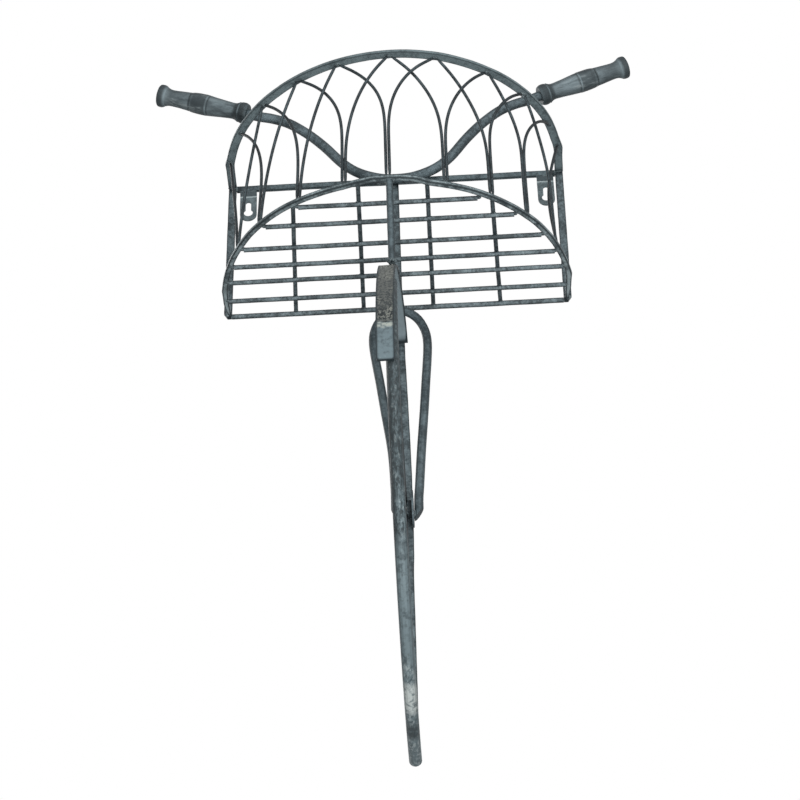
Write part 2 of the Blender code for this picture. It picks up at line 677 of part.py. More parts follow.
def barrel_reach(hand):
    """How far the hub's barrel goes to one side of the wheel's plane."""
    return HUB_BARREL_LENGTH / 2 - (HUB_LEFT_SHORTENING if hand < 0 else 0)


def build_hub():
    centre = Vector((0, -HUB_FORWARD, HUB_LEVEL))
    side = Vector((1, 0, 0))
    add_rod(
        "hub_barrel", centre - side * barrel_reach(-1), centre + side * barrel_reach(1),
        2 * HUB_BARREL_RADIUS, TUBE_PAINT, ROUND_SIDES,
    )
    for name, hand in (("hub_flange_left", -1), ("hub_flange_right", 1)):
        near = barrel_reach(hand) + WELD_GAP
        far = near + HUB_FLANGE_THICKNESS
        add_rod(
            name, centre + side * hand * near, centre + side * hand * far, 2 * HUB_FLANGE_RADIUS,
            BAND_PAINT, GRIP_SIDES,
        )
    inside = WHEEL_RADIUS - WHEEL_TUBE_DIAMETER / 2 - WELD_GAP
    for index, angle in enumerate(SPOKE_END_ANGLES, 1):
        far_end = wheel_place() @ wheel_point(inside, angle)
        near_end = centre + (far_end - centre).normalized() * (HUB_BARREL_RADIUS + WELD_GAP)
        add_rod(f"spoke_{index}", near_end, far_end, SPOKE_DIAMETER, WIRE_PAINT)


# Fork
def build_fork():
    """A rod bent to an upturned U, with each foot cut slanting where it is welded to the hub."""
    drop = FORK_CROWN_LEVEL - HUB_LEVEL
    flange_faces = {
        hand: barrel_reach(hand) + 2 * WELD_GAP + HUB_FLANGE_THICKNESS for hand in (-1, 1)
    }
    legs = []
    for hand, crown_shares, leg_shares in (
        (-1, LEFT_CROWN_WIDTH_SHARES, LEFT_LEG_WIDTH_SHARES),
        (1, RIGHT_CROWN_WIDTH_SHARES, RIGHT_LEG_WIDTH_SHARES),
    ):
        foot = flange_faces[hand] + FORK_DIAMETER / 2
        widths = [FORK_HALF_WIDTH * share for share in crown_shares]
        widths += [foot + (FORK_HALF_WIDTH - foot) * share for share in leg_shares]
        legs.append([
            Vector((hand * width, -FORK_FORWARD, FORK_CROWN_LEVEL - drop * share))
            for width, share in zip(widths, CROWN_DROP_SHARES + LEG_DROP_SHARES)
        ])
    path = smooth_path(legs[0][:0:-1] + legs[1], FORK_STEPS)
    tube = add_tube("fork_rod", path, FORK_DIAMETER, FORK_RESOLUTION, TUBE_PAINT)
    mesh, matrix = curve_to_mesh(tube, "fork")
    form = bmesh.new()
    form.from_mesh(mesh)
    for hand in (-1, 1):
        corner = Vector((hand * flange_faces[hand], 0, HUB_LEVEL - FORK_FOOT_REACH))
        normal = Vector((hand * math.sin(FORK_FOOT_CUT), 0, -math.cos(FORK_FOOT_CUT)))
        side = [vertex for vertex in form.verts if vertex.co.x * hand > 0 and vertex.co.z < HUB_LEVEL / 2]
        faces = [face for face in form.faces if all(vertex in side for vertex in face.verts)]
        edges = list({edge for face in faces for edge in face.edges})
        cut = bmesh.ops.bisect_plane(
            form, geom=side + edges + faces, plane_co=corner, plane_no=normal, clear_outer=True,
            dist=MERGE_DISTANCE,
        )
        rim = [item for item in cut["geom_cut"] if isinstance(item, bmesh.types.BMEdge)]
        bmesh.ops.contextual_create(form, geom=rim)
    bmesh.ops.recalc_face_normals(form, faces=form.faces)
    form.to_mesh(mesh)
    form.free()
    mesh.set_sharp_from_angle(angle=SMOOTH_ANGLE)
    add_object("fork", mesh, TUBE_PAINT, matrix)


clear_scene()
PLANTER = add_collection("bicycle_planter")
WIRE_PAINT = add_paint("painted_wire", (0.075, 0.095, 0.100), 0.55, 0.30)
BAND_PAINT = add_paint("painted_bar", (0.085, 0.108, 0.115), 0.50, 0.30)
TUBE_PAINT = add_paint("painted_tube", (0.090, 0.115, 0.122), 0.50, 0.30)
WHEEL_PAINT = add_paint("worn_wheel_paint", (0.110, 0.135, 0.140), 0.55, 0.20)
GUARD_PAINT = add_paint("mottled_mudguard_paint", (0.120, 0.135, 0.135), 0.60, 0.20)
GRIP_PAINT = add_paint("washed_grip_paint", (0.070, 0.088, 0.095), 0.60, 0.0)
build_basket()
build_floor()
build_arches()
build_keyhole_plates()
build_handlebar()
build_grips()
build_posts()
build_wheel()
build_mudguard()
build_hub()
build_fork()
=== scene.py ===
# Looks of the bicycle planter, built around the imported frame.
# Metres, +Z up. The wall is the plane Y = 0 and the planter stands out towards -Y.
import math
import random

import bmesh
import bpy
from mathutils import Matrix, Vector, noise


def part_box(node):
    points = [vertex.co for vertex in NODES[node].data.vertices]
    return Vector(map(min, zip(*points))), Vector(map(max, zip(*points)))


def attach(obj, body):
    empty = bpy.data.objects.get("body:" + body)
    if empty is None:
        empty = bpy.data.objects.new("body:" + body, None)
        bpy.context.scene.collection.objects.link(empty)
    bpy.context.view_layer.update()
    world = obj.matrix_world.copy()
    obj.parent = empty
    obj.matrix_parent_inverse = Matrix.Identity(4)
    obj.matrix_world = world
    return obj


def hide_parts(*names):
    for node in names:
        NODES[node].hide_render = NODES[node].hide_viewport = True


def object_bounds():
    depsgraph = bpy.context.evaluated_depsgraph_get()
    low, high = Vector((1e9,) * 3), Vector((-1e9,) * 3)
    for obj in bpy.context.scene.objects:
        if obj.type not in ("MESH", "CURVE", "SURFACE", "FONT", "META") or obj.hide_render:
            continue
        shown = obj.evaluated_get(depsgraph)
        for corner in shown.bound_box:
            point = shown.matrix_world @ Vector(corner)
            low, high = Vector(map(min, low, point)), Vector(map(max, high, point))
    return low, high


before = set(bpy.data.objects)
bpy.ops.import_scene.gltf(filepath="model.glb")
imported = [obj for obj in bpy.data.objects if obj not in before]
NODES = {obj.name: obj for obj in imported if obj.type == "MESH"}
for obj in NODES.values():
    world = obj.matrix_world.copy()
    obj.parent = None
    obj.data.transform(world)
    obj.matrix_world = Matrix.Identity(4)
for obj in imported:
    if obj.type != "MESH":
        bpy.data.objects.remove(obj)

# Without a seed the vector noise starts from the clock, and dents would differ in each run
DENT_SEED = 7
noise.seed_set(DENT_SEED)

CAD_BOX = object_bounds()
WIRES, CROSS_BARS, FLOOR_RODS, SPOKES = (
    sorted(name for name in NODES if name.startswith(kind))
    for kind in ("arch_wire", "cross_bar", "floor_rod", "spoke")
)
RIGHT, BACK, UP = Vector((1, 0, 0)), Vector((0, 1, 0)), Vector((0, 0, 1))

# Camera, at the photograph's angle from below
CAMERA_AIM = Vector((-0.0022, 0.0, -0.3062))
CAMERA_DISTANCE = 2.583
CAMERA_AZIMUTH = math.radians(1.652)
CAMERA_ELEVATION = math.radians(-38.517)
CAMERA_ROLL = math.radians(-1.861)
CAMERA_LENS = 114.01
CAMERA_SENSOR = 36.0

# Studio
FLOOR_LEVEL = -4.2
FLOOR_SIZE = 14.0
FLOOR_TONE = (238, 238, 238)
FLOOR_ROUGHNESS = 0.9
FLOOR_GLOW = 0.55
WORLD_LIGHT = 0.23
LAMP_SIZE = 1.1
# Place and power in watts of each lamp
LAMPS = (
    (Vector((0.3, -2.1, -2.3)), 56.0),
    (Vector((0.6, -2.3, 0.8)), 26.0),
    (Vector((-1.6, 1.3, 1.4)), 22.0),
)

# Basket hoops, as in the frame
POST_SPACING_HALF = 0.1785
POST_WIDTH = 0.0084
BAR_WIDTH = 0.0078
RIM_WIDTH = 0.0090
RIM_THICKNESS = 0.0040
RIM_RADIUS = 0.1815
RIM_CENTRE_FORWARD = 0.0105
RIM_BEND_FORWARD = 0.040
RING_RADIUS = 0.1805
RING_CENTRE_FORWARD = 0.0168
RING_BEND_FORWARD = 0.042
RING_LEVEL = -0.1832
RING_WIDTH = 0.0058
RING_HEIGHT = 0.0050
BASKET_SHIFT = 0.00085
BASKET_LEAN = 0.00225
# Out of round: shares of a quarter turn from the front, and of the wander
HOOP_WANDER = 0.004
RIM_WANDER_SHARES = (
    (-1.0, -0.30), (-0.94, -0.33), (-0.85, -0.72), (-0.75, -0.68), (-0.60, -0.85), (-0.45, -1.02),
    (-0.30, -0.85), (-0.19, -0.68), (-0.08, -0.52), (0.0, -0.30), (0.08, -0.10), (0.20, 0.02),
    (0.35, 0.05), (0.50, 0.25), (0.62, 0.22), (0.74, 0.12), (0.84, -0.28), (0.94, -0.05), (1.0, 0.0),
)
RING_WANDER_SHARES = (
    (-1.0, 0.0), (-0.59, 0.42), (-0.42, 0.25), (-0.28, -0.22), (-0.17, -0.42), (-0.11, -0.05),
    (-0.06, 0.32), (0.04, 0.25), (0.09, 0.0), (0.14, -0.95), (0.20, -0.95), (0.33, -0.80),
    (0.46, -0.70), (0.58, -0.40), (0.85, -0.22), (1.0, 0.0),
)
RIM = (RIM_RADIUS, RIM_CENTRE_FORWARD, RIM_WANDER_SHARES)
RING = (RING_RADIUS, RING_CENTRE_FORWARD, RING_WANDER_SHARES)
RIM_CORNER = 0.0006
RING_CORNER = 0.0013
HOOP_END_FORWARD = 0.0035
HOOP_STEPS = 150
LEG_STEPS = 9
# The bars swell where they bend, over a few steps, and the ring's legs taper at the wall
RIM_SWELL = 0.0008
RING_SWELL = 0.0005
SWELL_STEPS = 1.3
RING_LEG_TAPER = 0.0034
LEG_TAPER_LENGTH = 0.022

# Bars, posts and rods
WALL_GAP = 0.0001
STATION_STEP = 0.006
LEAST_PARTS = 2
BAR_CORNER = 0.0006
CORNER_STEPS = 3
# Extra points beside each corner keep the darkening along an edge to a thin line
EDGE_LINE = 0.0008
LEVEL_GAP = 0.003
POST_FOOT_SHARE = 0.1
POST_FOOT_RISE = 0.0018
ROD_SIDES = 18
ROD_SWELL = 0.03
ROD_SWELL_SCALE = 130
WIRE_SWELL = 0.00017
WIRE_LEVELS = 2
MERGE_REACH = 0.00002
FLAT_ANGLE = math.radians(30)
SQUARE_ANGLE = math.radians(50)
# Edges that turn by more than this stay sharp
SHARP_ANGLE = math.radians(40)
GUARD_SHARP_ANGLE = math.radians(35)
GRIP_SHARP_ANGLE = math.radians(55)
BEAD_SHARP_ANGLE = math.radians(80)
# Slight dents: their depth, and the share of it, noise scale and seed of each layer
HOOP_DENT = 0.00018
BAR_DENT = 0.00016
HOOP_DENTS = ((1.0, 45.0, 0.0), (0.4, 210.0, 3.0))
BAR_DENTS = ((1.0, 60.0, 2.0), (0.5, 240.0, 9.0))
ROD_DENTS = ((1.0, 55.0, 0.0),)

# Reach of a rod's end from its tip, and how far apart two wires of one tip may be
WIRE_REACH = 0.0045
BAR_REACH = 0.0065
ROD_REACH = 0.0085
FACE_DEPTH = 0.0004
TIP_SPREAD = 0.009

# Mudguard and wheel
WHEEL_CENTRE_FORWARD = 0.022
WHEEL_CENTRE_LEVEL = -0.48205
GUARD_INNER_RADIUS = 0.2533
GUARD_THICKNESS = 0.002
GUARD_WIDTH = 0.017
GUARD_LIP_LENGTH = 0.0158
GUARD_LIP_ANGLE = math.radians(4)
GUARD_SIDE_OFFSET = 0.0004
GUARD_SKEW = math.radians(1.14)
GUARD_TAIL_DROP = 0.005
GUARD_CORNER_CLIP = 0.0012
GUARD_CLIP_SLOPE = 0.9
GUARD_STEPS = 90
GUARD_LIP_STEPS = 10
GUARD_TAIL_STEPS = 3
GUARD_COLUMNS = 12
# Depth and noise scale of its dents, which fade out at the edges, and how far they sink the sheet
GUARD_DENTS = ((0.00025, 55), (0.00012, 160))
GUARD_DENT_POWER = 6
GUARD_SINK = 0.00035

# Grips
GRIP_LENGTH = 0.107
GRIP_BARREL_RADIUS = 0.0119
GRIP_SOCKET_RADIUS = 0.0058
GRIP_SIDES = 64
GRIP_SLOPE = math.radians(20.8)
HANDLEBAR_TILT = math.radians(0.67)
GRIP_DENT = 0.00018
GRIP_DENT_SCALE = 90
GRIP_SEED = 5
CURVE_STEPS = 3
TURNED_PLACE = "turned_place"
# Shares of the length from the inner end, and of the barrel's radius
GRIP_PROFILE_SHARES = (
    (1.0, 0.79), (0.993, 1.02), (0.978, 1.075), (0.952, 1.075), (0.935, 1.03), (0.910, 0.90),
    (0.870, 0.79), (0.800, 0.80), (0.645, 0.895), (0.637, 0.86), (0.629, 0.925), (0.585, 0.98),
    (0.530, 1.0), (0.450, 1.0), (0.442, 0.94), (0.434, 0.975), (0.345, 0.90), (0.250, 0.82),
    (0.155, 0.773), (0.115, 0.873), (0.098, 0.962), (0.087, 0.893), (0.075, 0.992), (0.030, 0.992),
    (0.0, 0.853),
)

# Colours as they look in the picture, red, green and blue out of 255
STEEL_BLUE = (100, 115, 120)
DEEP_WASH_AND_SHADE = (36, 45, 49)
PALE_WEAR = (165, 180, 182)
BARE_STEEL = (176, 188, 190)
WHITE = (255, 255, 255)

# Paint. A fade holds two values of a measure, and where given the share of a coat at each of them
# A noise holds its detail, roughness and distortion
BLOTCH_NOISE = (5.0, 0.62, 0.4)
MOTTLE_NOISE = (4.0, 0.6)
GRAIN_NOISE = (2.0, 0.5)
CHIP_NOISE = (3.0, 0.7)
BLOTCH_SHARE = 0.55
MOTTLE_SHARE = 0.45
WASH_FADE = (-0.09, 0.07)
GRAIN_SCALE = 4
CHIP_SCALE = 1.7
CHIP_FADE = 0.05
CHIP_PATCH_FADE = (0.45, 0.62)
WORN_EDGE_FADE = (0.53, 0.62)
WORN_EDGE_PATCH_FADE = (0.46, 0.6)
# Painted shade: faces that turn away from the front and below, the way towards the camera and the main
# lamp, are darkened, so the sides of rods look dark
SIDE_SHADE_LIGHT_WAY = (0.022, -0.782, -0.623)
SIDE_SHADE_FADE = (0.92, 0.45)
TURNED_AWAY_FADE = (-0.5, 0.1, 0.2, 1.0)
ROUGHNESS_FADE = (0.35, 0.65, 0.5, 0.7)
BUMP_MOTTLE_SHARE = 0.7
BUMP_GRAIN_SHARE = 0.3
BUMP_STRENGTH = 0.7
BUMP_DISTANCE = 0.00025
METALLIC = 0.15
SPECULAR = 0.22


# Node helpers
def linear(colour):
    """A picture colour as the shader wants it."""
    shares = [value / 255 for value in colour]
    return (*(s / 12.92 if s <= 0.04045 else ((s + 0.055) / 1.055) ** 2.4 for s in shares), 1.0)


def new_material(name):
    material = bpy.data.materials.new(name)
    material.use_nodes = True
    return material, material.node_tree, material.node_tree.nodes["Principled BSDF"]


def fill_socket(tree, socket, value):
    if isinstance(value, bpy.types.NodeSocket):
        tree.links.new(value, socket)
    else:
        socket.default_value = value


def add_node(tree, kind, sockets=None, **settings):
    item = tree.nodes.new(kind)
    for name, value in settings.items():
        setattr(item, name, value)
    for name, value in (sockets or {}).items():
        fill_socket(tree, item.inputs[name], value)
    return item


def add_noise(tree, place, scale, detail, roughness, distortion=0.0):
    sockets = {
        "Vector": place, "Scale": scale, "Detail": detail, "Roughness": roughness,
        "Distortion": distortion,
    }
    return add_node(tree, "ShaderNodeTexNoise", sockets).outputs["Fac"]


def add_range(tree, value, low, high, low_result=0.0, high_result=1.0):
    sockets = {
        "Value": value, "From Min": low, "From Max": high, "To Min": low_result,
        "To Max": high_result,
    }
    return add_node(tree, "ShaderNodeMapRange", sockets, clamp=True).outputs["Result"]


def fade(tree, value, limits):
    return add_range(tree, value, *limits)


def add_math(tree, operation, first, second):
    return add_node(tree, "ShaderNodeMath", {0: first, 1: second}, operation=operation).outputs[0]


def add_vector_math(tree, operation, first, second, result):
    sockets = {0: first, 1: second}
    return add_node(tree, "ShaderNodeVectorMath", sockets, operation=operation).outputs[result]


def multiply(tree, *values):
    result = values[0]
    for value in values[1:]:
        result = add_math(tree, "MULTIPLY", result, value)
    return result


def weigh(tree, first, first_share, second, second_share):
    """The sum of two values, each times its share."""
    return add_math(
        tree, "ADD", multiply(tree, first, first_share), multiply(tree, second, second_share),
    )


def add_mix(tree, share, first, second):
    """A mix of two colours, each of them a socket or a picture colour."""
    item = add_node(tree, "ShaderNodeMix", data_type="RGBA")
    for index, value in ((0, share), (6, first), (7, second)):
        fill_socket(tree, item.inputs[index], linear(value) if isinstance(value, tuple) else value)
    return item.outputs[2]


def coat(tree, colour, tone, *shares):
    """Lays a tone over the colour, where all of its shares are high."""
    return add_mix(tree, multiply(tree, *shares), colour, tone)


def part_of(tree, place, letter):
    return add_node(tree, "ShaderNodeSeparateXYZ", {"Vector": place}).outputs[letter]


def stretch_place(tree, place, scale):
    return add_node(tree, "ShaderNodeMapping", {"Vector": place, "Scale": scale}).outputs[0]


def ragged_level(tree, place, wobble, amount):
    """The level of a place, shifted a little by a noise so that a border along it is ragged."""
    shift = multiply(tree, add_math(tree, "SUBTRACT", wobble, 0.5), amount)
    return add_math(tree, "ADD", part_of(tree, place, "Z"), shift)


def washed_paint(
    name, base=STEEL_BLUE, wash_and_shade=DEEP_WASH_AND_SHADE, blotch=38.0, mottle=230.0, wash_at=0.52, contrast=0.8,
    chips_at=0.66, chip_share=0.8, edge_share=0.0, dark_edge=0.0, edge_range=(0.503, 0.528),
    side_shade_share=0.0, stretch=(1.0, 1.0, 1.0), place_name=None, zones=None,
):
    """Blue-grey paint, washed dark in blotches and worn pale in specks and on edges, with painted shade
    on faces turned away from the front and below, and darker convex edges.
    """
    material, tree, shader = new_material(name)
    place = add_node(tree, "ShaderNodeTexCoord").outputs["Object"]
    if place_name:
        place = add_node(tree, "ShaderNodeAttribute", attribute_name=place_name).outputs["Vector"]
    stretched = stretch_place(tree, place, stretch)
    blotches = add_noise(tree, stretched, blotch, *BLOTCH_NOISE)
    mottles = add_noise(tree, stretched, mottle, *MOTTLE_NOISE)
    grains = add_noise(tree, place, mottle * GRAIN_SCALE, *GRAIN_NOISE)
    both = weigh(tree, blotches, BLOTCH_SHARE, mottles, MOTTLE_SHARE)
    wash_share = add_range(tree, both, wash_at + WASH_FADE[0], wash_at + WASH_FADE[1], contrast, 0.0)
    colour = add_mix(tree, wash_share, base, wash_and_shade)
    chips = add_noise(tree, place, mottle * CHIP_SCALE, *CHIP_NOISE)
    chips = add_range(tree, chips, chips_at, chips_at + CHIP_FADE)
    patches = fade(tree, blotches, CHIP_PATCH_FADE)
    colour = coat(tree, colour, PALE_WEAR, chips, patches, chip_share)
    geometry = add_node(tree, "ShaderNodeNewGeometry")
    point = geometry.outputs["Pointiness"]
    if edge_share:
        edges = add_range(tree, point, *WORN_EDGE_FADE, 0.0, edge_share)
        patches = fade(tree, mottles, WORN_EDGE_PATCH_FADE)
        colour = coat(tree, colour, PALE_WEAR, edges, patches)
    if zones:
        colour = zones(tree, place, colour, blotches, mottles)
    if side_shade_share:
        # Painted shade on faces turned away from the front and below
        facing_light = add_vector_math(tree, "DOT_PRODUCT", geometry.outputs["Normal"], SIDE_SHADE_LIGHT_WAY, "Value")
        side_shade = add_range(tree, facing_light, *SIDE_SHADE_FADE, 0.0, side_shade_share)
        colour = coat(tree, colour, wash_and_shade, side_shade, fade(tree, facing_light, TURNED_AWAY_FADE))
    # Convex edges are darkened towards the dark tone
    if dark_edge:
        colour = coat(tree, colour, wash_and_shade, add_range(tree, point, *edge_range, 0.0, dark_edge))
    tree.links.new(colour, shader.inputs["Base Color"])
    tree.links.new(fade(tree, both, ROUGHNESS_FADE), shader.inputs["Roughness"])
    height = weigh(tree, mottles, BUMP_MOTTLE_SHARE, grains, BUMP_GRAIN_SHARE)
    sockets = {"Height": height, "Strength": BUMP_STRENGTH, "Distance": BUMP_DISTANCE}
    tree.links.new(add_node(tree, "ShaderNodeBump", sockets).outputs["Normal"], shader.inputs["Normal"])
    shader.inputs["Metallic"].default_value = METALLIC
    shader.inputs["Specular IOR Level"].default_value = SPECULAR
    return material


# Tones and fades of the mudguard
GUARD_CHIP_LEVEL = -0.434
GUARD_RAGGED = 0.020
GUARD_SPECK_DARK = (4, 5, 6)
GUARD_SPECK_PALE = (134, 136, 129)
GUARD_CLOUD_TONE = (64, 68, 68)
GUARD_INNER_LIGHT_TONE = (152, 168, 174)
GUARD_TORN_TONE = (176, 182, 174)
GUARD_OUTER_FADE = (0.05, 0.15)
GUARD_INNER_LIGHT_FADE = (-0.05, -0.15, 0.0, 0.8)
GUARD_ROUGH_FADE = (GUARD_CHIP_LEVEL, GUARD_CHIP_LEVEL + 0.003)
GUARD_HIGH_FADE = (GUARD_CHIP_LEVEL + 0.030, GUARD_CHIP_LEVEL + 0.07, 0.0, 0.06)
GUARD_SPECK_SCALE = 440.0
GUARD_SPECK_NOISE = (3.0, 0.6)
GUARD_SPECK_FADE = (0.49, 0.54)
GUARD_CLOUD_FADE = (0.44, 0.58, 0.7, 0.0)
GUARD_ROUGH_SHARE = 0.92
GUARD_TORN_LOW_FADE = (GUARD_CHIP_LEVEL - 0.007, GUARD_CHIP_LEVEL - 0.003)
GUARD_TORN_HIGH_FADE = (GUARD_CHIP_LEVEL + 0.002, GUARD_CHIP_LEVEL)
GUARD_TORN_PATCH_FADE = (0.40, 0.52, 0.25, 0.9)


def guard_zones(tree, place, colour, blotches, mottles):
    """Rough brown washed coat on the outer face, a pale torn line, smooth paint on the lip, and painted
    light on the inside, where the inner face is made lighter as if lit from below.
    """
    centre = (0.0, -WHEEL_CENTRE_FORWARD, WHEEL_CENTRE_LEVEL)
    outward = add_vector_math(tree, "SUBTRACT", place, centre, "Vector")
    normal = add_node(tree, "ShaderNodeNewGeometry").outputs["Normal"]
    facing = add_vector_math(tree, "DOT_PRODUCT", outward, normal, "Value")
    outer = fade(tree, facing, GUARD_OUTER_FADE)
    level = ragged_level(tree, place, blotches, GUARD_RAGGED)
    specks = add_noise(tree, place, GUARD_SPECK_SCALE, *GUARD_SPECK_NOISE)
    specks = add_math(tree, "ADD", specks, fade(tree, level, GUARD_HIGH_FADE))
    specks = fade(tree, specks, GUARD_SPECK_FADE)
    brown = add_mix(tree, specks, GUARD_SPECK_DARK, GUARD_SPECK_PALE)
    brown = coat(tree, brown, GUARD_CLOUD_TONE, fade(tree, blotches, GUARD_CLOUD_FADE))
    rough = fade(tree, level, GUARD_ROUGH_FADE)
    colour = coat(tree, colour, brown, rough, outer, GUARD_ROUGH_SHARE)
    # Painted light: the inner face, turned towards the wheel, is mixed lighter as if lit from below
    colour = coat(tree, colour, GUARD_INNER_LIGHT_TONE, fade(tree, facing, GUARD_INNER_LIGHT_FADE))
    return coat(
        tree, colour, GUARD_TORN_TONE, fade(tree, level, GUARD_TORN_LOW_FADE),
        fade(tree, level, GUARD_TORN_HIGH_FADE), fade(tree, mottles, GUARD_TORN_PATCH_FADE),
        outer,
    )


# Tones and fades of the keyhole plates, with painted shade at the top, under the back bar, and a pale
# line across them
PLATE_LINE_LEVEL = -0.0133
PLATE_RAGGED = 0.002
PLATE_TOP_SHADE_TONE = (48, 57, 61)
PLATE_TOP_SHADE_FADE = (PLATE_LINE_LEVEL, PLATE_LINE_LEVEL + 0.001, 0.0, 0.7)
PLATE_LINE_LOW_FADE = (PLATE_LINE_LEVEL - 0.0016, PLATE_LINE_LEVEL - 0.0008)
PLATE_LINE_HIGH_FADE = (PLATE_LINE_LEVEL + 0.0006, PLATE_LINE_LEVEL)
PLATE_LINE_SHARE = 0.9


def plate_zones(tree, place, colour, blotches, mottles):
    """Painted shade at the top of each keyhole plate, under the back bar, above a pale line."""
    level = ragged_level(tree, place, mottles, PLATE_RAGGED)
    # Painted shade under the back bar
    colour = coat(tree, colour, PLATE_TOP_SHADE_TONE, fade(tree, level, PLATE_TOP_SHADE_FADE))
    return coat(
        tree, colour, BARE_STEEL, fade(tree, level, PLATE_LINE_LOW_FADE),
        fade(tree, level, PLATE_LINE_HIGH_FADE), PLATE_LINE_SHARE,
    )


# Tone and fades of the ring's legs, by their depth from the wall
RING_LEG_TONE = (158, 172, 175)
RING_LEG_FADE = (-0.060, -0.040)
RING_LEG_PATCH_FADE = (0.36, 0.52, 0.3, 0.8)


def ring_zones(tree, place, colour, blotches, mottles):
    """The ring's legs are rubbed lighter near the wall."""
    leg = fade(tree, part_of(tree, place, "Y"), RING_LEG_FADE)
    return coat(
        tree, colour, RING_LEG_TONE, leg, fade(tree, blotches, RING_LEG_PATCH_FADE),
    )


# Tones and fades of the wheel, by its level, its side and the distance from two rubbed places
WHEEL_RAGGED = 0.05
STREAK_SCALE = (420.0, 150.0, 150.0)
STREAK_NOISE = (4.0, 0.7, 0.5)
WHEEL_TOP_TONE = (62, 70, 73)
WHEEL_TOP_FADE = (-0.590, -0.560, 0.0, 0.45)
WHEEL_HIGH_FADE = (-0.665, -0.635)
WHEEL_LEFT_SHADE_TONE = (48, 55, 58)
WHEEL_LEFT_SHADE_FADE = (0.0015, -0.0040, 0.0, 0.85)
DARK_STREAK_TONE = (46, 52, 54)
DARK_STREAK_FADE = (0.44, 0.58, 0.0, 0.85)
PALE_STREAK_TONE = (142, 150, 150)
PALE_STREAK_FADE = (0.42, 0.34, 0.0, 0.6)
WHEEL_LOW_TONE = (120, 135, 140)
WHEEL_LOW_FADE = (-0.63, -0.66)
WHEEL_LOW_PATCH_FADE = (0.40, 0.54, 0.2, 0.75)
WHEEL_END_FADE = (-0.706, -0.720)
WHEEL_END_STREAK_FADE = (0.50, 0.58, 0.0, 0.8)
WORN_PLACE = (0.001, -0.096, -0.7225)
WORN_TONE = (206, 214, 212)
WORN_FADE = (0.021, 0.013)
WORN_PATCH_FADE = (0.40, 0.50, 0.2, 0.95)
SMUDGE_PLACE = (0.002, -0.056, -0.7310)
SMUDGE_TONE = (44, 52, 55)
SMUDGE_FADE = (0.014, 0.006)
SMUDGE_STREAK_FADE = (0.38, 0.52, 0.3, 0.85)


def wheel_zones(tree, place, colour, blotches, mottles):
    """Dark streaks high up, painted shade down the left side of the tube, and one pale rubbed patch with
    a smudge near the wall.
    """
    streaks = add_noise(tree, stretch_place(tree, place, STREAK_SCALE), 1.0, *STREAK_NOISE)
    level = ragged_level(tree, place, blotches, WHEEL_RAGGED)
    side = part_of(tree, place, "X")
    high = fade(tree, level, WHEEL_HIGH_FADE)
    low = fade(tree, level, WHEEL_LOW_FADE)
    end = fade(tree, level, WHEEL_END_FADE)
    worn = add_vector_math(tree, "DISTANCE", place, WORN_PLACE, "Value")
    worn = fade(tree, worn, WORN_FADE)
    smudge = add_vector_math(tree, "DISTANCE", place, SMUDGE_PLACE, "Value")
    smudge = fade(tree, smudge, SMUDGE_FADE)
    colour = coat(tree, colour, WHEEL_TOP_TONE, fade(tree, level, WHEEL_TOP_FADE))
    for tone, share, measure, limits in (
        # Painted shade: high up, the tube's left side is darkened as if turned away from the light
        (WHEEL_LEFT_SHADE_TONE, high, side, WHEEL_LEFT_SHADE_FADE),
        (DARK_STREAK_TONE, high, streaks, DARK_STREAK_FADE),
        (PALE_STREAK_TONE, high, streaks, PALE_STREAK_FADE),
        (WHEEL_LOW_TONE, low, mottles, WHEEL_LOW_PATCH_FADE),
        (BARE_STEEL, end, streaks, WHEEL_END_STREAK_FADE),
        (WORN_TONE, worn, mottles, WORN_PATCH_FADE),
        (SMUDGE_TONE, smudge, streaks, SMUDGE_STREAK_FADE),
    ):
        colour = coat(tree, colour, tone, share, fade(tree, measure, limits))
    return colour


# Tones and fades of the grips. A tone goes by its share of the length from the inner end
GRIP_START_TONE = (96, 108, 112)
GRIP_END_TONE = (52, 60, 64)
GRIP_TINT = (1.03, 1.14, 1.18)
GRIP_TONES = (
    (0.03, 50), (0.075, 46), (0.088, 132), (0.10, 44), (0.13, 56), (0.16, 112), (0.30, 128),
    (0.42, 120), (0.432, 60), (0.446, 150), (0.462, 80), (0.60, 72), (0.622, 104), (0.638, 44),
    (0.652, 122), (0.72, 96), (0.85, 84), (0.90, 104), (0.918, 136), (0.94, 60), (0.985, 50),
)
GRIP_TONE_SHARE = 0.75
GRIP_DARK_TONE = (40, 48, 52)
GRIP_DARK_FADE = (0.50, 0.40, 0.0, 0.55)
GRIP_WORN_TONE = (158, 168, 170)
GRIP_WORN_FADE = (0.52, 0.62)
GRIP_WORN_PATCH_FADE = (0.42, 0.56)
GRIP_INNER_FADE = (0.014, 0.024)
GRIP_OUTER_FADE = (0.098, 0.088)
GRIP_WORN_SHARE = 0.75


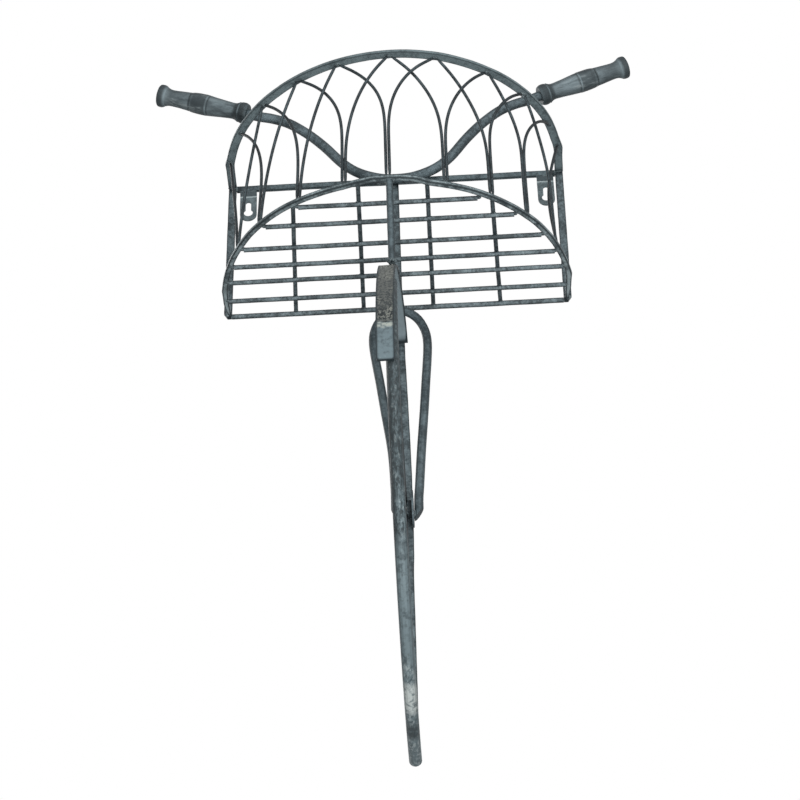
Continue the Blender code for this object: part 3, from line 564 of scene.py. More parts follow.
def grip_zones(tree, place, colour, blotches, mottles):
    """Along the grip: a dark collar and end, dark grooves, and pale rubbed paint between."""
    along = part_of(tree, place, "Z")
    ramp = add_node(tree, "ShaderNodeValToRGB", {"Fac": add_range(tree, along, 0.0, GRIP_LENGTH)})
    stops = ramp.color_ramp.elements
    stops[0].position, stops[0].color = 0.0, linear(GRIP_START_TONE)
    stops[1].position, stops[1].color = 1.0, linear(GRIP_END_TONE)
    for share, tone in GRIP_TONES:
        stops.new(share).color = linear([tone * tint for tint in GRIP_TINT])
    tinted = add_mix(tree, GRIP_TONE_SHARE, colour, ramp.outputs["Color"])
    tinted = coat(tree, tinted, GRIP_DARK_TONE, fade(tree, blotches, GRIP_DARK_FADE))
    return coat(
        tree, tinted, GRIP_WORN_TONE, fade(tree, blotches, GRIP_WORN_FADE),
        fade(tree, mottles, GRIP_WORN_PATCH_FADE), fade(tree, along, GRIP_INNER_FADE),
        fade(tree, along, GRIP_OUTER_FADE), GRIP_WORN_SHARE,
    )


# Geometry helpers
def link_object(data):
    item = bpy.data.objects.new(data.name, data)
    bpy.context.scene.collection.objects.link(item)
    return item


def link_piece(mesh, paint, node=None):
    piece = link_object(mesh)
    mesh.materials.append(PAINTS[paint])
    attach(piece, "root")
    if node:
        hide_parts(node)
    return piece


def middle_of(places):
    return sum(places, Vector()) / len(places)


def end_centre(name, direction, reach):
    """The middle of a rod's end, on the side that the direction points to."""
    places = [vertex.co for vertex in NODES[name].data.vertices]
    tip = max(places, key=lambda place: place.dot(direction))
    return middle_of([place for place in places if (place - tip).length < reach])


def face_centre(name, direction):
    """The middle of a node's flat end."""
    places = {tuple(vertex.co) for vertex in NODES[name].data.vertices}
    places = [Vector(place) for place in places]
    far = max(place.dot(direction) for place in places)
    return middle_of([place for place in places if far - place.dot(direction) < FACE_DEPTH])


def rounded_section(width, height, corner):
    """A rectangle with round corners, as offsets across and up, with points beside each corner."""
    points = []
    for across, up, start in ((1, 1, 0), (-1, 1, 1), (-1, -1, 2), (1, -1, 3)):
        for step in range(CORNER_STEPS + 1):
            angle = math.pi / 2 * (start + step / CORNER_STEPS)
            points.append((
                across * (width / 2 - corner) + corner * math.cos(angle),
                up * (height / 2 - corner) + corner * math.sin(angle),
            ))
    section = []
    for index, point in enumerate(points):
        section.append(point)
        following = points[(index + 1) % len(points)]
        reach = math.dist(point, following)
        if reach > 2 * EDGE_LINE:
            for share in (EDGE_LINE / reach, 0.5, 1 - EDGE_LINE / reach):
                section.append(tuple(a + (b - a) * share for a, b in zip(point, following)))
    return section


def mesh_from(form, name):
    mesh = bpy.data.meshes.new(name)
    form.to_mesh(mesh)
    form.free()
    return mesh


def finish_mesh(form, name, sharp):
    bmesh.ops.recalc_face_normals(form, faces=form.faces)
    mesh = mesh_from(form, name)
    mesh.shade_smooth()
    mesh.set_sharp_from_angle(angle=sharp)
    return mesh


def skin_rings(name, rings, sharp=SHARP_ANGLE):
    """A mesh with faces between rings of points, and a cap at each end."""
    form = bmesh.new()
    rows = [[form.verts.new(point) for point in ring] for ring in rings]
    for first, second in zip(rows, rows[1:]):
        for index in range(len(first)):
            after = (index + 1) % len(first)
            form.faces.new((first[index], first[after], second[after], second[index]))
    form.faces.new(rows[0][::-1])
    form.faces.new(rows[-1])
    return finish_mesh(form, name, sharp)


def dent_at(place, depth, layers):
    """A small wander of a surface, the same each time."""
    result = Vector()
    for share, scale, seed in layers:
        result += noise.noise_vector(place * scale + Vector((seed, seed, seed))) * depth * share
    return result


def keep_off_wall(place):
    place.y = min(place.y, -WALL_GAP)
    return place


def value_between(pairs, place):
    """Reads a table of places and values, evenly between its entries."""
    for (before, low), (after, high) in zip(pairs, pairs[1:]):
        if place <= after:
            return low + (high - low) * (place - before) / (after - before)
    return pairs[-1][1]


# Hoops of the basket
def hoop_point(hoop, angle):
    radius, centre_forward, wander = hoop
    radius += HOOP_WANDER * value_between(wander, angle / (math.pi / 2))
    return Vector((radius * math.sin(angle), -centre_forward - radius * math.cos(angle), 0))


def hoop_end(hand, level, height=0.0):
    """The end of a hoop on its corner post, which leans with the basket."""
    side = hand * POST_SPACING_HALF + BASKET_SHIFT + BASKET_LEAN * level / -RING_LEVEL
    return Vector((side, -HOOP_END_FORWARD, height))


def hoop_path(hoop, bend_forward, level):
    bend = math.pi / 2 + math.asin((hoop[1] - bend_forward) / hoop[0])
    arc = [hoop_point(hoop, bend * (2 * step / HOOP_STEPS - 1)) for step in range(HOOP_STEPS + 1)]
    left_end, right_end = hoop_end(-1, level), hoop_end(1, level)
    left = [left_end.lerp(arc[0], step / LEG_STEPS) for step in range(LEG_STEPS)]
    right = [arc[-1].lerp(right_end, (step + 1) / LEG_STEPS) for step in range(LEG_STEPS)]
    return left + arc + right


def taper_leg(place, width, taper):
    """Narrows a leg from its outer side, near the wall."""
    near = max(0.0, 1 + place.y / LEG_TAPER_LENGTH)
    outside = abs(place.x - BASKET_SHIFT) - POST_SPACING_HALF
    place.x -= math.copysign(taper * near * max(0.0, outside + width / 2) / width, place.x)


def build_hoop(name, node, hoop, bend_forward, section_sizes, level, paint, swell, taper=0.0):
    path = hoop_path(hoop, bend_forward, level)
    width, height, corner = section_sizes
    rings = []
    last = len(path) - 1
    bends = (LEG_STEPS, LEG_STEPS + HOOP_STEPS)
    for index, point in enumerate(path):
        ahead = (path[min(index + 1, last)] - point).normalized()
        behind = (point - path[max(index - 1, 0)]).normalized()
        if index == 0:
            behind = ahead
        if index == last:
            ahead = behind
        along = (ahead + behind).normalized()
        across = Vector((-along.y, along.x, 0))
        reach = 1 / across.dot(Vector((-ahead.y, ahead.x, 0)))
        grow = sum(math.exp(-((index - bend) / SWELL_STEPS) ** 2) for bend in bends) * swell
        ring = []
        for side, up in rounded_section(width + grow, height, corner):
            place = point + across * side * reach + Vector((0, 0, up + level))
            place = keep_off_wall(place + dent_at(place, HOOP_DENT, HOOP_DENTS))
            taper_leg(place, width, taper)
            ring.append(place)
        rings.append(ring)
    link_piece(skin_rings(name, rings), paint, node)


# Bars and posts on the wall, and rods
def sweep_bar(node, centres, across, size, paint, outer=0):
    """A bar with rounded edges along its centres, its foot cut back on the outer side if given."""
    rings = []
    for index, centre in enumerate(centres):
        ring = []
        for side, out in rounded_section(*size):
            if index == 0 and side * outer > 0:
                side *= POST_FOOT_SHARE
            place = centre + across * side + Vector((0, out, 0))
            ring.append(keep_off_wall(place + dent_at(place, BAR_DENT, BAR_DENTS)))
        rings.append(ring)
    link_piece(skin_rings(node + "_bar", rings), paint, node)


def build_bar(node, paint):
    """A flat bar on the wall, upright or level."""
    low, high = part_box(node)
    size = high - low
    upright = size.z > size.x
    along, across = (UP, RIGHT) if upright else (RIGHT, -UP)
    length, width = (size.z, size.x) if upright else (size.x, size.z)
    stations = int(length / STATION_STEP)
    centre = (low + high) / 2
    centres = [centre + along * length * (step / stations - 0.5) for step in range(stations + 1)]
    sweep_bar(node, centres, across, (width, size.y, BAR_CORNER), paint)


def build_bowed_bar(node, width, paint, outer=0):
    """A post that leans or bows, along the middle of its CAD node at each level."""
    places = {tuple(round(value, 5) for value in vertex.co) for vertex in NODES[node].data.vertices}
    places = sorted(places, key=lambda place: place[2])
    groups = [[places[0]]]
    for place in places[1:]:
        if place[2] - groups[-1][-1][2] > LEVEL_GAP:
            groups.append([])
        groups[-1].append(place)
    middles = [middle_of([Vector(place) for place in group]) for group in groups]
    low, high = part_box(node)
    middles[0].z, middles[-1].z = low.z + (POST_FOOT_RISE if outer else 0), high.z
    centres = []
    for start, end in zip(middles, middles[1:]):
        parts = max(LEAST_PARTS, round((end - start).length / STATION_STEP))
        centres += [start.lerp(end, step / parts) for step in range(parts)]
    centres.append(middles[-1])
    sweep_bar(node, centres, RIGHT, (width, high.y - low.y, BAR_CORNER), paint, outer)


def build_rod(node, direction, paint):
    """A round rod between the ends of its CAD node, as thick as the node's box is across it."""
    start, end = end_centre(node, -direction, ROD_REACH), end_centre(node, direction, ROD_REACH)
    low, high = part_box(node)
    radius = ((high.x - low.x) if direction.z else (high.z - low.z)) / 2
    along = (end - start).normalized()
    side = along.orthogonal().normalized()
    other = along.cross(side)
    stations = int((end - start).length / STATION_STEP)
    rings = []
    for step in range(stations + 1):
        centre = start.lerp(end, step / stations)
        grow = 1 + ROD_SWELL * noise.noise(centre * ROD_SWELL_SCALE)
        dent = dent_at(centre, BAR_DENT, ROD_DENTS)
        ring = []
        for turn in range(ROD_SIDES):
            angle = math.tau * turn / ROD_SIDES
            out = (side * math.cos(angle) + other * math.sin(angle)) * radius * grow
            ring.append(keep_off_wall(centre + out + dent))
        rings.append(ring)
    link_piece(skin_rings(node + "_rod", rings), paint, node)


def fine_copy(node, paint):
    """A copy of a CAD wire, smoothed, and swollen by what the smoothing takes off."""
    form = bmesh.new()
    form.from_mesh(NODES[node].data)
    bmesh.ops.remove_doubles(form, verts=form.verts, dist=MERGE_REACH)
    bmesh.ops.join_triangles(
        form, faces=form.faces, angle_face_threshold=FLAT_ANGLE, angle_shape_threshold=SQUARE_ANGLE,
    )
    form.normal_update()
    for vertex, way in [(vertex, vertex.normal.copy()) for vertex in form.verts]:
        vertex.co += way * WIRE_SWELL
    mesh = mesh_from(form, node + "_fine")
    mesh.materials.clear()
    mesh.shade_smooth()
    smoother = link_piece(mesh, paint, node).modifiers.new("smoother", "SUBSURF")
    smoother.levels = smoother.render_levels = WIRE_LEVELS


# Mudguard: a thin bent sheet with its lower corners clipped
def guard_path():
    """Places along the sheet's middle, and the outward way at each, in the wheel's plane."""
    radius = GUARD_INNER_RADIUS + GUARD_THICKNESS / 2
    turn = math.pi / 2 - GUARD_LIP_ANGLE
    start = Vector((math.cos(GUARD_LIP_ANGLE), math.sin(GUARD_LIP_ANGLE)))
    down = Vector((start.y, -start.x))
    path = []
    for step in range(GUARD_LIP_STEPS):
        along = GUARD_LIP_LENGTH * (1 - step / GUARD_LIP_STEPS)
        path.append((start * radius + down * along, start))
    for step in range(GUARD_STEPS + 1):
        angle = GUARD_LIP_ANGLE + turn * step / GUARD_STEPS
        way = Vector((math.cos(angle), math.sin(angle)))
        path.append((way * radius, way))
    end = WHEEL_CENTRE_FORWARD - HOOP_END_FORWARD
    for step in range(1, GUARD_TAIL_STEPS + 1):
        share = step / GUARD_TAIL_STEPS
        path.append((Vector((-end * share, radius - GUARD_TAIL_DROP * share)), Vector((0, 1))))
    return path


def build_mudguard():
    skew = Matrix.Rotation(-GUARD_SKEW, 4, "Z")
    rings = []
    path = guard_path()
    travelled = 0.0
    for index, (place, way) in enumerate(path):
        if index:
            travelled += (place - path[index - 1][0]).length
        clip = max(0.0, GUARD_CORNER_CLIP - travelled)
        half = GUARD_WIDTH / 2 - clip * GUARD_CLIP_SLOPE
        radial = Vector((0, -way.x, way.y))
        outer, inner = [], []
        for column in range(GUARD_COLUMNS + 1):
            aside = 2 * column / GUARD_COLUMNS - 1
            edge = 1 - abs(aside) ** GUARD_DENT_POWER
            for line, side in ((outer, 1), (inner, -1)):
                out = place + way * side * GUARD_THICKNESS / 2
                point = Vector((aside * half, -WHEEL_CENTRE_FORWARD - out.x, WHEEL_CENTRE_LEVEL + out.y))
                dent = sum(noise.noise(point * scale) * depth for depth, scale in GUARD_DENTS)
                point += radial * (dent * edge - GUARD_SINK)
                line.append(skew @ point + Vector((-GUARD_SIDE_OFFSET, 0, 0)))
        rings.append(outer + inner[::-1])
    mesh = skin_rings("mudguard_sheet", rings, GUARD_SHARP_ANGLE)
    link_piece(mesh, "guard", "mudguard")


# Grips
def smooth_profile(points):
    """Extra points between the profile's own, on a gentle curve through them."""
    result = []
    for index in range(len(points) - 1):
        before = Vector(points[max(index - 1, 0)])
        start, end = Vector(points[index]), Vector(points[index + 1])
        after = Vector(points[min(index + 2, len(points) - 1)])
        for step in range(CURVE_STEPS):
            t = step / CURVE_STEPS
            result.append(tuple(0.5 * (
                2 * start + (end - before) * t + (2 * before - 5 * start + 4 * end - after) * t * t
                + (3 * start - before - 3 * end + after) * t ** 3
            )))
    result.append(points[-1])
    return result


def build_grip(name, node, hand):
    slope = Vector((hand * math.cos(GRIP_SLOPE), 0, math.sin(GRIP_SLOPE)))
    slope = Matrix.Rotation(-HANDLEBAR_TILT, 3, "Y") @ slope
    outer, start = face_centre(node, slope), face_centre(node, -slope)
    toward = UP.rotation_difference((outer - start).normalized()).to_matrix().to_4x4()
    profile = smooth_profile([
        (GRIP_LENGTH * along, GRIP_BARREL_RADIUS * radius) for along, radius in GRIP_PROFILE_SHARES
    ])
    profile.append((0.0, GRIP_SOCKET_RADIUS))
    rings = []
    for along, radius in profile:
        ring = []
        for step in range(GRIP_SIDES):
            angle = math.tau * step / GRIP_SIDES
            way = Vector((math.cos(angle), math.sin(angle), 0))
            place = way * radius + UP * along
            dent = noise.noise(place * GRIP_DENT_SCALE + Vector((hand * GRIP_SEED, 0, 0))) - 1
            ring.append(place + way * dent * GRIP_DENT)
        rings.append(ring)
    mesh = skin_rings(name, rings, GRIP_SHARP_ANGLE)
    # The place on the upright grip is kept for the paint, and the mesh is then turned into place
    turned = mesh.attributes.new(TURNED_PLACE, "FLOAT_VECTOR", "POINT")
    for vertex, item in zip(mesh.vertices, turned.data):
        item.vector = vertex.co
    mesh.transform(Matrix.Translation(start) @ toward)
    link_piece(mesh, "grip", node)


# Weld beads: offset from the joint, its first part towards the joint's side, and half sizes
BEADS = {
    "rim_tip": ((0, 0, 0.0001), (0.0034, 0.0026, 0.0013)),
    "rim_spatter": ((0, 0, 0), (0.0021, 0.0019, 0.0010)),
    "rim_end": ((0, 0, -0.0012), (0.0045, 0.0018, 0.0014)),
    "wire_foot": ((0, 0, -0.0002), (0.0033, 0.0020, 0.0015)),
    "bar_end": ((0.0008, 0, 0.0012), (0.0034, 0.0022, 0.0017)),
    "rod_front": ((0, 0.0004, -0.0006), (0.0022, 0.0026, 0.0016)),
    "ring_front": ((0, 0.0006, -0.0022), (0.0052, 0.0042, 0.0020)),
    "ring_front_small": ((-0.0022, 0.0018, -0.0026), (0.0026, 0.0022, 0.0016)),
    "ring_end": ((0, 0, 0.0004), (0.0036, 0.0017, 0.0028)),
    "rod_crossing": ((0.0017, 0, -0.0003), (0.0012, 0.0017, 0.0010)),
    "rod_back": ((0, -0.0008, -0.0016), (0.0024, 0.0016, 0.0016)),
    "back_bar_end": ((0, -0.0026, 0), (0.0014, 0.0016, 0.0034)),
    "plate_top": ((0, -0.0024, 0), (0.0034, 0.0011, 0.0010)),
    "post_top": ((0, -0.0028, 0), (0.0042, 0.0012, 0.0013)),
    "post_top_small": ((-0.0005, -0.0030, -0.004), (0.0026, 0.0009, 0.0024)),
    "post_joint": ((0, -0.0032, 0), (0.0044, 0.0014, 0.0016)),
    "low_bar_end": ((0, -0.0028, 0), (0.0013, 0.0017, 0.0022)),
    "handlebar_top": ((0, -0.0038, -0.0058), (0.0042, 0.0014, 0.0013)),
    "strut_foot": ((0, 0, 0.0004), (0.0019, 0.0019, 0.0015)),
    "fork_crown": ((0.0040, 0, 0), (0.0045, 0.0024, 0.0016)),
    "fork_foot": ((0.0008, 0, 0.003), (0.0016, 0.0036, 0.0050)),
    "spoke_root": ((0.0018, 0, 0), (0.0018, 0.0028, 0.0024)),
    "spoke_end": ((0, 0, 0), (0.0032, 0.0032, 0.0026)),
    "wheel_end": ((0, -0.0034, 0.012), (0.0046, 0.0022, 0.0016)),
    "guard_end": ((0, -0.0040, -0.0016), (0.0070, 0.0014, 0.0018)),
}
BEAD_LEVELS = 3
# Depth and noise scale of a bead's lumps and grains, and what makes each bead's noise its own
BEAD_LUMP = 0.22
BEAD_LUMP_SCALE = 1.6
BEAD_GRAIN = 0.10
BEAD_GRAIN_SCALE = 4.2
BEAD_LUMP_SEED = 3.1
BEAD_GRAIN_SEED = 1.7
BEAD_NAME_SEED = 7.3
# Least and most growth of a bead, and seed of the dice, at the rim, the ring and the floor
RIM_GROWTH, RIM_SEED = (0.85, 1.2), 4
FOOT_GROWTH, BAR_GROWTH, RING_SEED = (0.85, 1.15), (0.85, 1.2), 11
FLOOR_GROWTH, FLOOR_SEED = (0.75, 1.25), 23
SPATTER_REACH = 0.003
SPATTER_INSET = 0.0012
CROSSING_REACH = 0.0006
PLATE_BEAD_STEPS = (-0.0062, 0.0, 0.0058)
HANDLEBAR_BEAD_PLACES = (-0.016, -0.007, 0.004, 0.013, 0.021)
STRUT_BEADS = 6
STRUT_BEAD_RADIUS = 0.0030
SPOKE_ROOT_OUT = 0.0004
SPOKE_END_IN = 0.0022


def bead(kind, place, side=1, grow=(1, 1, 1), axis=None):
    """Place, half sizes and axis of one bead at a joint."""
    offset, size = BEADS[kind]
    place = Vector(place) + Vector((offset[0] * side, offset[1], offset[2]))
    return place, Vector([part * share for part, share in zip(size, grow)]), axis


def add_bead(form, place, size, seed, axis):
    """A lumpy drop of weld, longer along its axis."""
    made = bmesh.ops.create_icosphere(form, subdivisions=BEAD_LEVELS, radius=1.0)
    turn = Matrix.Identity(3)
    if axis is not None:
        turn = RIGHT.rotation_difference(axis.normalized()).to_matrix()
    scale = Matrix.Diagonal(size)
    lump_shift = Vector((seed * BEAD_LUMP_SEED, seed, 0))
    grain_shift = Vector((seed, 0, seed * BEAD_GRAIN_SEED))
    for vertex in made["verts"]:
        ball = vertex.co.copy()
        lump = 1 + BEAD_LUMP * noise.noise(ball * BEAD_LUMP_SCALE + lump_shift)
        lump += BEAD_GRAIN * noise.noise(ball * BEAD_GRAIN_SCALE + grain_shift)
        vertex.co = keep_off_wall(place + turn @ (scale @ (ball * lump)))


def build_beads(name, beads, paint):
    form = bmesh.new()
    for number, (place, size, axis) in enumerate(beads):
        add_bead(form, place, size, number + len(name) * BEAD_NAME_SEED, axis)
    link_piece(finish_mesh(form, name, BEAD_SHARP_ANGLE), paint)


def wire_ends(direction):
    """Where arch wires meet the rim or the ring, each shared end once."""
    groups = []
    for name in WIRES:
        end = end_centre(name, direction, WIRE_REACH)
        for group in groups:
            if (middle_of(group) - end).length < TIP_SPREAD:
                group.append(end)
                break
        else:
            groups.append([end])
    return [middle_of(group) for group in groups]


def hoop_ways(place):
    """Along the basket's hoops at a place on them, and outward from them."""
    outward = Vector((place.x, place.y + RING_CENTRE_FORWARD, 0)).normalized()
    return Vector((-outward.y, outward.x, 0)), outward


def box_ends(node):
    """The middles of a node's left and right ends, on the wall."""
    low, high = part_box(node)
    return [(side, 0, (low.z + high.z) / 2) for side in (low.x, high.x)]


def rim_beads():
    dice = random.Random(RIM_SEED)
    for tip in wire_ends(UP):
        along, outward = hoop_ways(tip)
        grow = (dice.uniform(*RIM_GROWTH), 1, 1)
        yield bead("rim_tip", tip, grow=grow, axis=along)
        spatter = tip + along * dice.uniform(-SPATTER_REACH, SPATTER_REACH) - outward * SPATTER_INSET
        yield bead("rim_spatter", spatter, grow=grow, axis=along)
    for hand in (-1, 1):
        yield bead("rim_end", hoop_end(hand, 0.0))


def ring_beads():
    dice = random.Random(RING_SEED)
    for foot in wire_ends(-UP):
        grow = (dice.uniform(*FOOT_GROWTH), 1, 1)
        yield bead("wire_foot", foot, grow=grow, axis=hoop_ways(foot)[0])
    for name in CROSS_BARS:
        for side in (-1, 1):
            end = end_centre(name, RIGHT * side, BAR_REACH)
            yield bead("bar_end", end, side, (dice.uniform(*BAR_GROWTH), 1, 1))
    for name in FLOOR_RODS:
        yield bead("rod_front", end_centre(name, -BACK, BAR_REACH))
    front = Vector((0, -RING_CENTRE_FORWARD - RING_RADIUS, RING_LEVEL))
    yield bead("ring_front", front)
    yield bead("ring_front_small", front)
    for hand in (-1, 1):
        yield bead("ring_end", hoop_end(hand, RING_LEVEL, RING_LEVEL))


def floor_beads():
    dice = random.Random(FLOOR_SEED)
    for rod in FLOOR_RODS:
        front, back = end_centre(rod, -BACK, BAR_REACH), end_centre(rod, BACK, BAR_REACH)
        for bar in CROSS_BARS:
            low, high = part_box(bar)
            cross = front.lerp(back, ((low.y + high.y) / 2 - front.y) / (back.y - front.y))
            cross.z = high.z
            for side in (-1, 1):
                grow = dice.uniform(*FLOOR_GROWTH)
                shift = Vector((0, dice.uniform(-CROSSING_REACH, CROSSING_REACH), 0))
                yield bead("rod_crossing", cross + shift, side, (grow, grow, 1))
        yield bead("rod_back", back)


def frame_beads():
    for place in box_ends("top_back_bar"):
        yield bead("back_bar_end", place)
    back_bar_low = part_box("top_back_bar")[0].z
    for name in ("keyhole_plate_left", "keyhole_plate_right"):
        low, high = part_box(name)
        for step in PLATE_BEAD_STEPS:
            yield bead("plate_top", ((low.x + high.x) / 2 + step, 0, back_bar_low))
    low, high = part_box("spine_upper")
    yield bead("post_top", (0, 0, high.z))
    yield bead("post_top_small", (0, 0, high.z))
    yield bead("post_joint", (0, 0, low.z))
    yield bead("post_joint", (0, 0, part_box("spine_lower")[1].z))
    for place in box_ends("bottom_back_bar"):
        yield bead("low_bar_end", place)
    for place in HANDLEBAR_BEAD_PLACES:
        yield bead("handlebar_top", (place, 0, 0))


def lower_beads():
    low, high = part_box("front_strut")
    foot = Vector((0, (low.y + high.y) / 2, low.z))
    for turn in range(STRUT_BEADS):
        angle = math.tau * turn / STRUT_BEADS
        way = Vector((math.cos(angle), math.sin(angle), 0))
        yield bead("strut_foot", foot + way * STRUT_BEAD_RADIUS)
    low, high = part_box("fork")
    fork_forward = (low.y + high.y) / 2
    for side in (-1, 1):
        yield bead("fork_crown", (0, fork_forward, high.z), side)
    for name, side in (("hub_flange_left", -1), ("hub_flange_right", 1)):
        low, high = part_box(name)
        outer = high.x if side > 0 else low.x
        yield bead("fork_foot", (outer, fork_forward, (low.z + high.z) / 2), side)
    low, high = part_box("hub_barrel")
    hub = (low + high) / 2
    radius = (high.z - low.z) / 2
    for name in SPOKES:
        low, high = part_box(name)
        corners = [Vector((0, y, z)) for y in (low.y, high.y) for z in (low.z, high.z)]
        far = max(corners, key=lambda corner: (corner - hub).length)
        away = (far - hub).normalized()
        root = Vector((0, hub.y, hub.z)) + away * (radius + SPOKE_ROOT_OUT)
        for side in (-1, 1):
            yield bead("spoke_root", root, side)
        yield bead("spoke_end", far - away * SPOKE_END_IN)
    yield bead("wheel_end", (0, 0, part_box("wheel_rim")[0].z))
    low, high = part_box("mudguard")
    yield bead("guard_end", ((low.x + high.x) / 2, 0, high.z))


# Light, floor and camera
def seen_share(tree, *rays):
    """1 where one of these rays meets a surface or the world, and 0 elsewhere."""
    path = add_node(tree, "ShaderNodeLightPath")
    seen = path.outputs[rays[0]]
    for ray in rays[1:]:
        seen = add_math(tree, "MAXIMUM", seen, path.outputs[ray])
    return seen


def build_world():
    world = bpy.data.worlds.new("studio")
    bpy.context.scene.world = world
    world.use_nodes = True
    tree = world.node_tree
    tree.nodes.clear()
    seen = seen_share(tree, "Is Camera Ray", "Is Glossy Ray", "Is Transmission Ray")
    lit, shown = (
        add_node(tree, "ShaderNodeBackground", {"Color": linear(WHITE), "Strength": strength}).outputs[0]
        for strength in (WORLD_LIGHT, 1.0)
    )
    mix = add_node(tree, "ShaderNodeMixShader", {0: seen, 1: lit, 2: shown})
    add_node(tree, "ShaderNodeOutputWorld", {"Surface": mix.outputs[0]})


def build_lamps():
    middle = (Vector(CAD_BOX[0]) + Vector(CAD_BOX[1])) / 2
    for index, (place, power) in enumerate(LAMPS):
        light = bpy.data.lights.new(f"soft_lamp_{index}", "AREA")
        light.energy = power
        light.size = LAMP_SIZE
        turn = (middle - place).to_track_quat("-Z", "Y").to_matrix().to_4x4()
        link_object(light).matrix_world = Matrix.Translation(place) @ turn


def build_floor():
    form = bmesh.new()
    bmesh.ops.create_grid(form, x_segments=1, y_segments=1, size=FLOOR_SIZE / 2)
    floor = link_object(mesh_from(form, "studio_floor"))
    floor.location.z = FLOOR_LEVEL
    material, tree, shader = new_material("pale_floor")
    shader.inputs["Base Color"].default_value = linear(FLOOR_TONE)
    shader.inputs["Roughness"].default_value = FLOOR_ROUGHNESS
    # The camera sees the floor pale, without more light from it on the planter
    shader.inputs["Emission Color"].default_value = linear(WHITE)
    glow = multiply(tree, seen_share(tree, "Is Camera Ray"), FLOOR_GLOW)
    tree.links.new(glow, shader.inputs["Emission Strength"])
    floor.data.materials.append(material)


def build_camera():
    camera_data = bpy.data.cameras.new("camera")
    camera_data.lens = CAMERA_LENS
    camera_data.sensor_width = CAMERA_SENSOR
    camera = link_object(camera_data)
    level = math.cos(CAMERA_ELEVATION)
    back = Vector((
        math.sin(CAMERA_AZIMUTH) * level, -math.cos(CAMERA_AZIMUTH) * level, math.sin(CAMERA_ELEVATION),
    ))
    place = CAMERA_AIM + back * CAMERA_DISTANCE
    turn = (-back).to_track_quat("-Z", "Y").to_matrix().to_4x4()
    camera.matrix_world = Matrix.Translation(place) @ turn @ Matrix.Rotation(CAMERA_ROLL, 4, "Z")
    bpy.context.scene.camera = camera


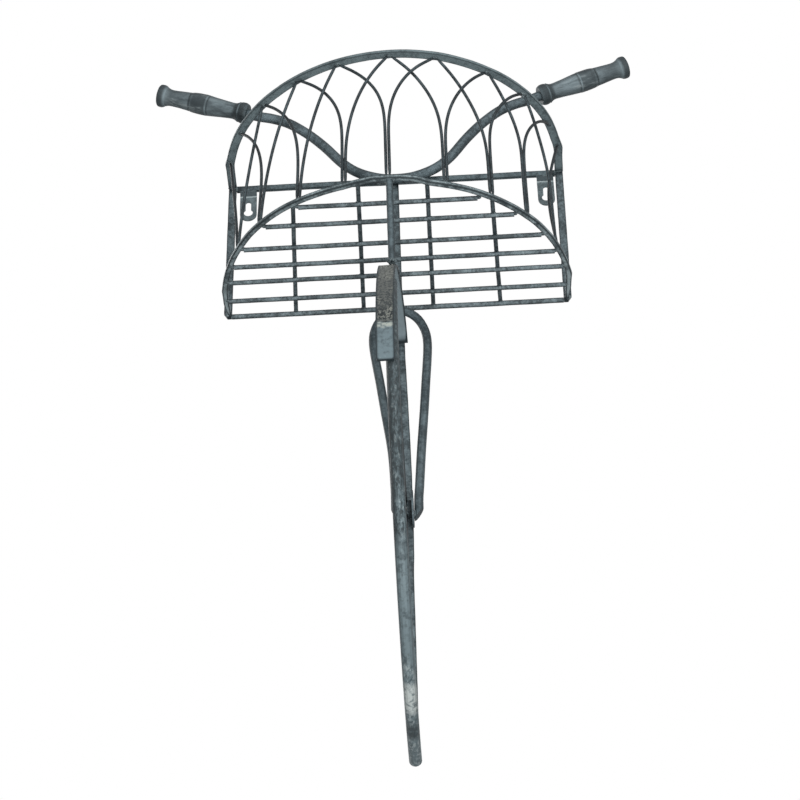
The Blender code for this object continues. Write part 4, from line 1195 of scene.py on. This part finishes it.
# What sets each paint apart
ROD_SETTINGS = dict(wash_and_shade=(26, 34, 38), blotch=60.0, mottle=340.0, contrast=0.75, chips_at=0.60)
PAINT_SETTINGS = {
    "rim": dict(
        base=(118, 133, 137), blotch=46.0, mottle=300.0, wash_at=0.47, contrast=0.65, dark_edge=0.75,
    ),
    "ring": dict(
        base=(138, 152, 156), blotch=60.0, mottle=330.0, chips_at=0.53, chip_share=0.95,
        dark_edge=0.9, edge_range=(0.508, 0.530), zones=ring_zones,
    ),
    "band": dict(blotch=50.0, mottle=300.0, wash_at=0.50, dark_edge=0.95),
    "plate": dict(base=(116, 130, 134), blotch=60.0, mottle=320.0, contrast=0.6, zones=plate_zones),
    "wire": dict(base=(82, 95, 100), wash_and_shade=(16, 23, 27), blotch=60.0, mottle=360.0, side_shade_share=0.95),
    "rod": dict(base=(124, 138, 143), side_shade_share=0.95, **ROD_SETTINGS),
    "floor_rod": dict(base=(112, 126, 131), side_shade_share=0.55, **ROD_SETTINGS),
    "tube": dict(
        base=(112, 127, 133), wash_and_shade=(32, 41, 45), blotch=34.0, mottle=260.0, contrast=0.75,
        side_shade_share=0.75,
    ),
    "post": dict(
        base=(110, 124, 129), wash_and_shade=(28, 36, 40), blotch=44.0, mottle=280.0, dark_edge=0.85,
    ),
    "wheel": dict(
        base=(108, 123, 128), blotch=30.0, mottle=220.0, wash_at=0.47, contrast=0.7, chips_at=0.62,
        side_shade_share=0.45, zones=wheel_zones,
    ),
    "guard": dict(
        base=(110, 126, 132), blotch=40.0, mottle=260.0, wash_at=0.43, contrast=0.7, dark_edge=0.95,
        edge_range=(0.505, 0.545), zones=guard_zones,
    ),
    "grip": dict(
        base=(104, 118, 124), blotch=70.0, mottle=240.0, contrast=0.6, dark_edge=0.3,
        edge_range=(0.51, 0.58), side_shade_share=0.45, stretch=(1, 1, 0.3), place_name=TURNED_PLACE,
        zones=grip_zones,
    ),
    "weld": dict(
        base=(104, 116, 120), blotch=120.0, mottle=420.0, chips_at=0.54, chip_share=0.9,
        edge_share=0.6,
    ),
    "wire_weld": dict(
        base=(110, 122, 126), blotch=120.0, mottle=420.0, chips_at=0.56, edge_share=0.5,
    ),
}
PAINTS = {name: washed_paint(name + "_paint", **settings) for name, settings in PAINT_SETTINGS.items()}
# Paint of the CAD nodes that are shown as they are
NODE_PAINTS = {
    "keyhole_plate_left": "plate", "keyhole_plate_right": "plate", "handlebar": "tube", "fork": "tube",
    "hub_barrel": "post", "hub_flange_left": "tube", "hub_flange_right": "tube", "wheel_rim": "wheel",
}

bpy.context.scene.view_settings.view_transform = "Standard"
build_world()
build_lamps()
build_floor()
build_camera()

for name, piece in NODES.items():
    for material_slot in piece.material_slots:
        material_slot.material = PAINTS[NODE_PAINTS.get(name, "wire")]
for name in WIRES:
    fine_copy(name, "wire")
build_bar("top_back_bar", "band")
build_bar("spine_upper", "post")
build_bowed_bar("corner_post_left", POST_WIDTH, "post", -1)
build_bowed_bar("corner_post_right", POST_WIDTH, "post", 1)
build_bowed_bar("spine_lower", BAR_WIDTH, "post")
for name in (*CROSS_BARS, "bottom_back_bar"):
    build_rod(name, RIGHT, "rod")
for name in FLOOR_RODS:
    build_rod(name, BACK, "floor_rod")
build_rod("front_strut", UP, "tube")
build_hoop(
    "rim_bar", "rim_band", RIM, RIM_BEND_FORWARD, (RIM_WIDTH, RIM_THICKNESS, RIM_CORNER), 0.0, "rim",
    RIM_SWELL,
)
build_hoop(
    "ring_bar", "lower_ring", RING, RING_BEND_FORWARD, (RING_WIDTH, RING_HEIGHT, RING_CORNER),
    RING_LEVEL, "ring", RING_SWELL, RING_LEG_TAPER,
)
build_mudguard()
build_grip("grip_turned_left", "grip_left", -1)
build_grip("grip_turned_right", "grip_right", 1)
build_beads("welds_rim", rim_beads(), "weld")
build_beads("welds_ring", ring_beads(), "weld")
build_beads("welds_floor", floor_beads(), "wire_weld")
build_beads("welds_frame", frame_beads(), "weld")
build_beads("welds_lower", lower_beads(), "weld")
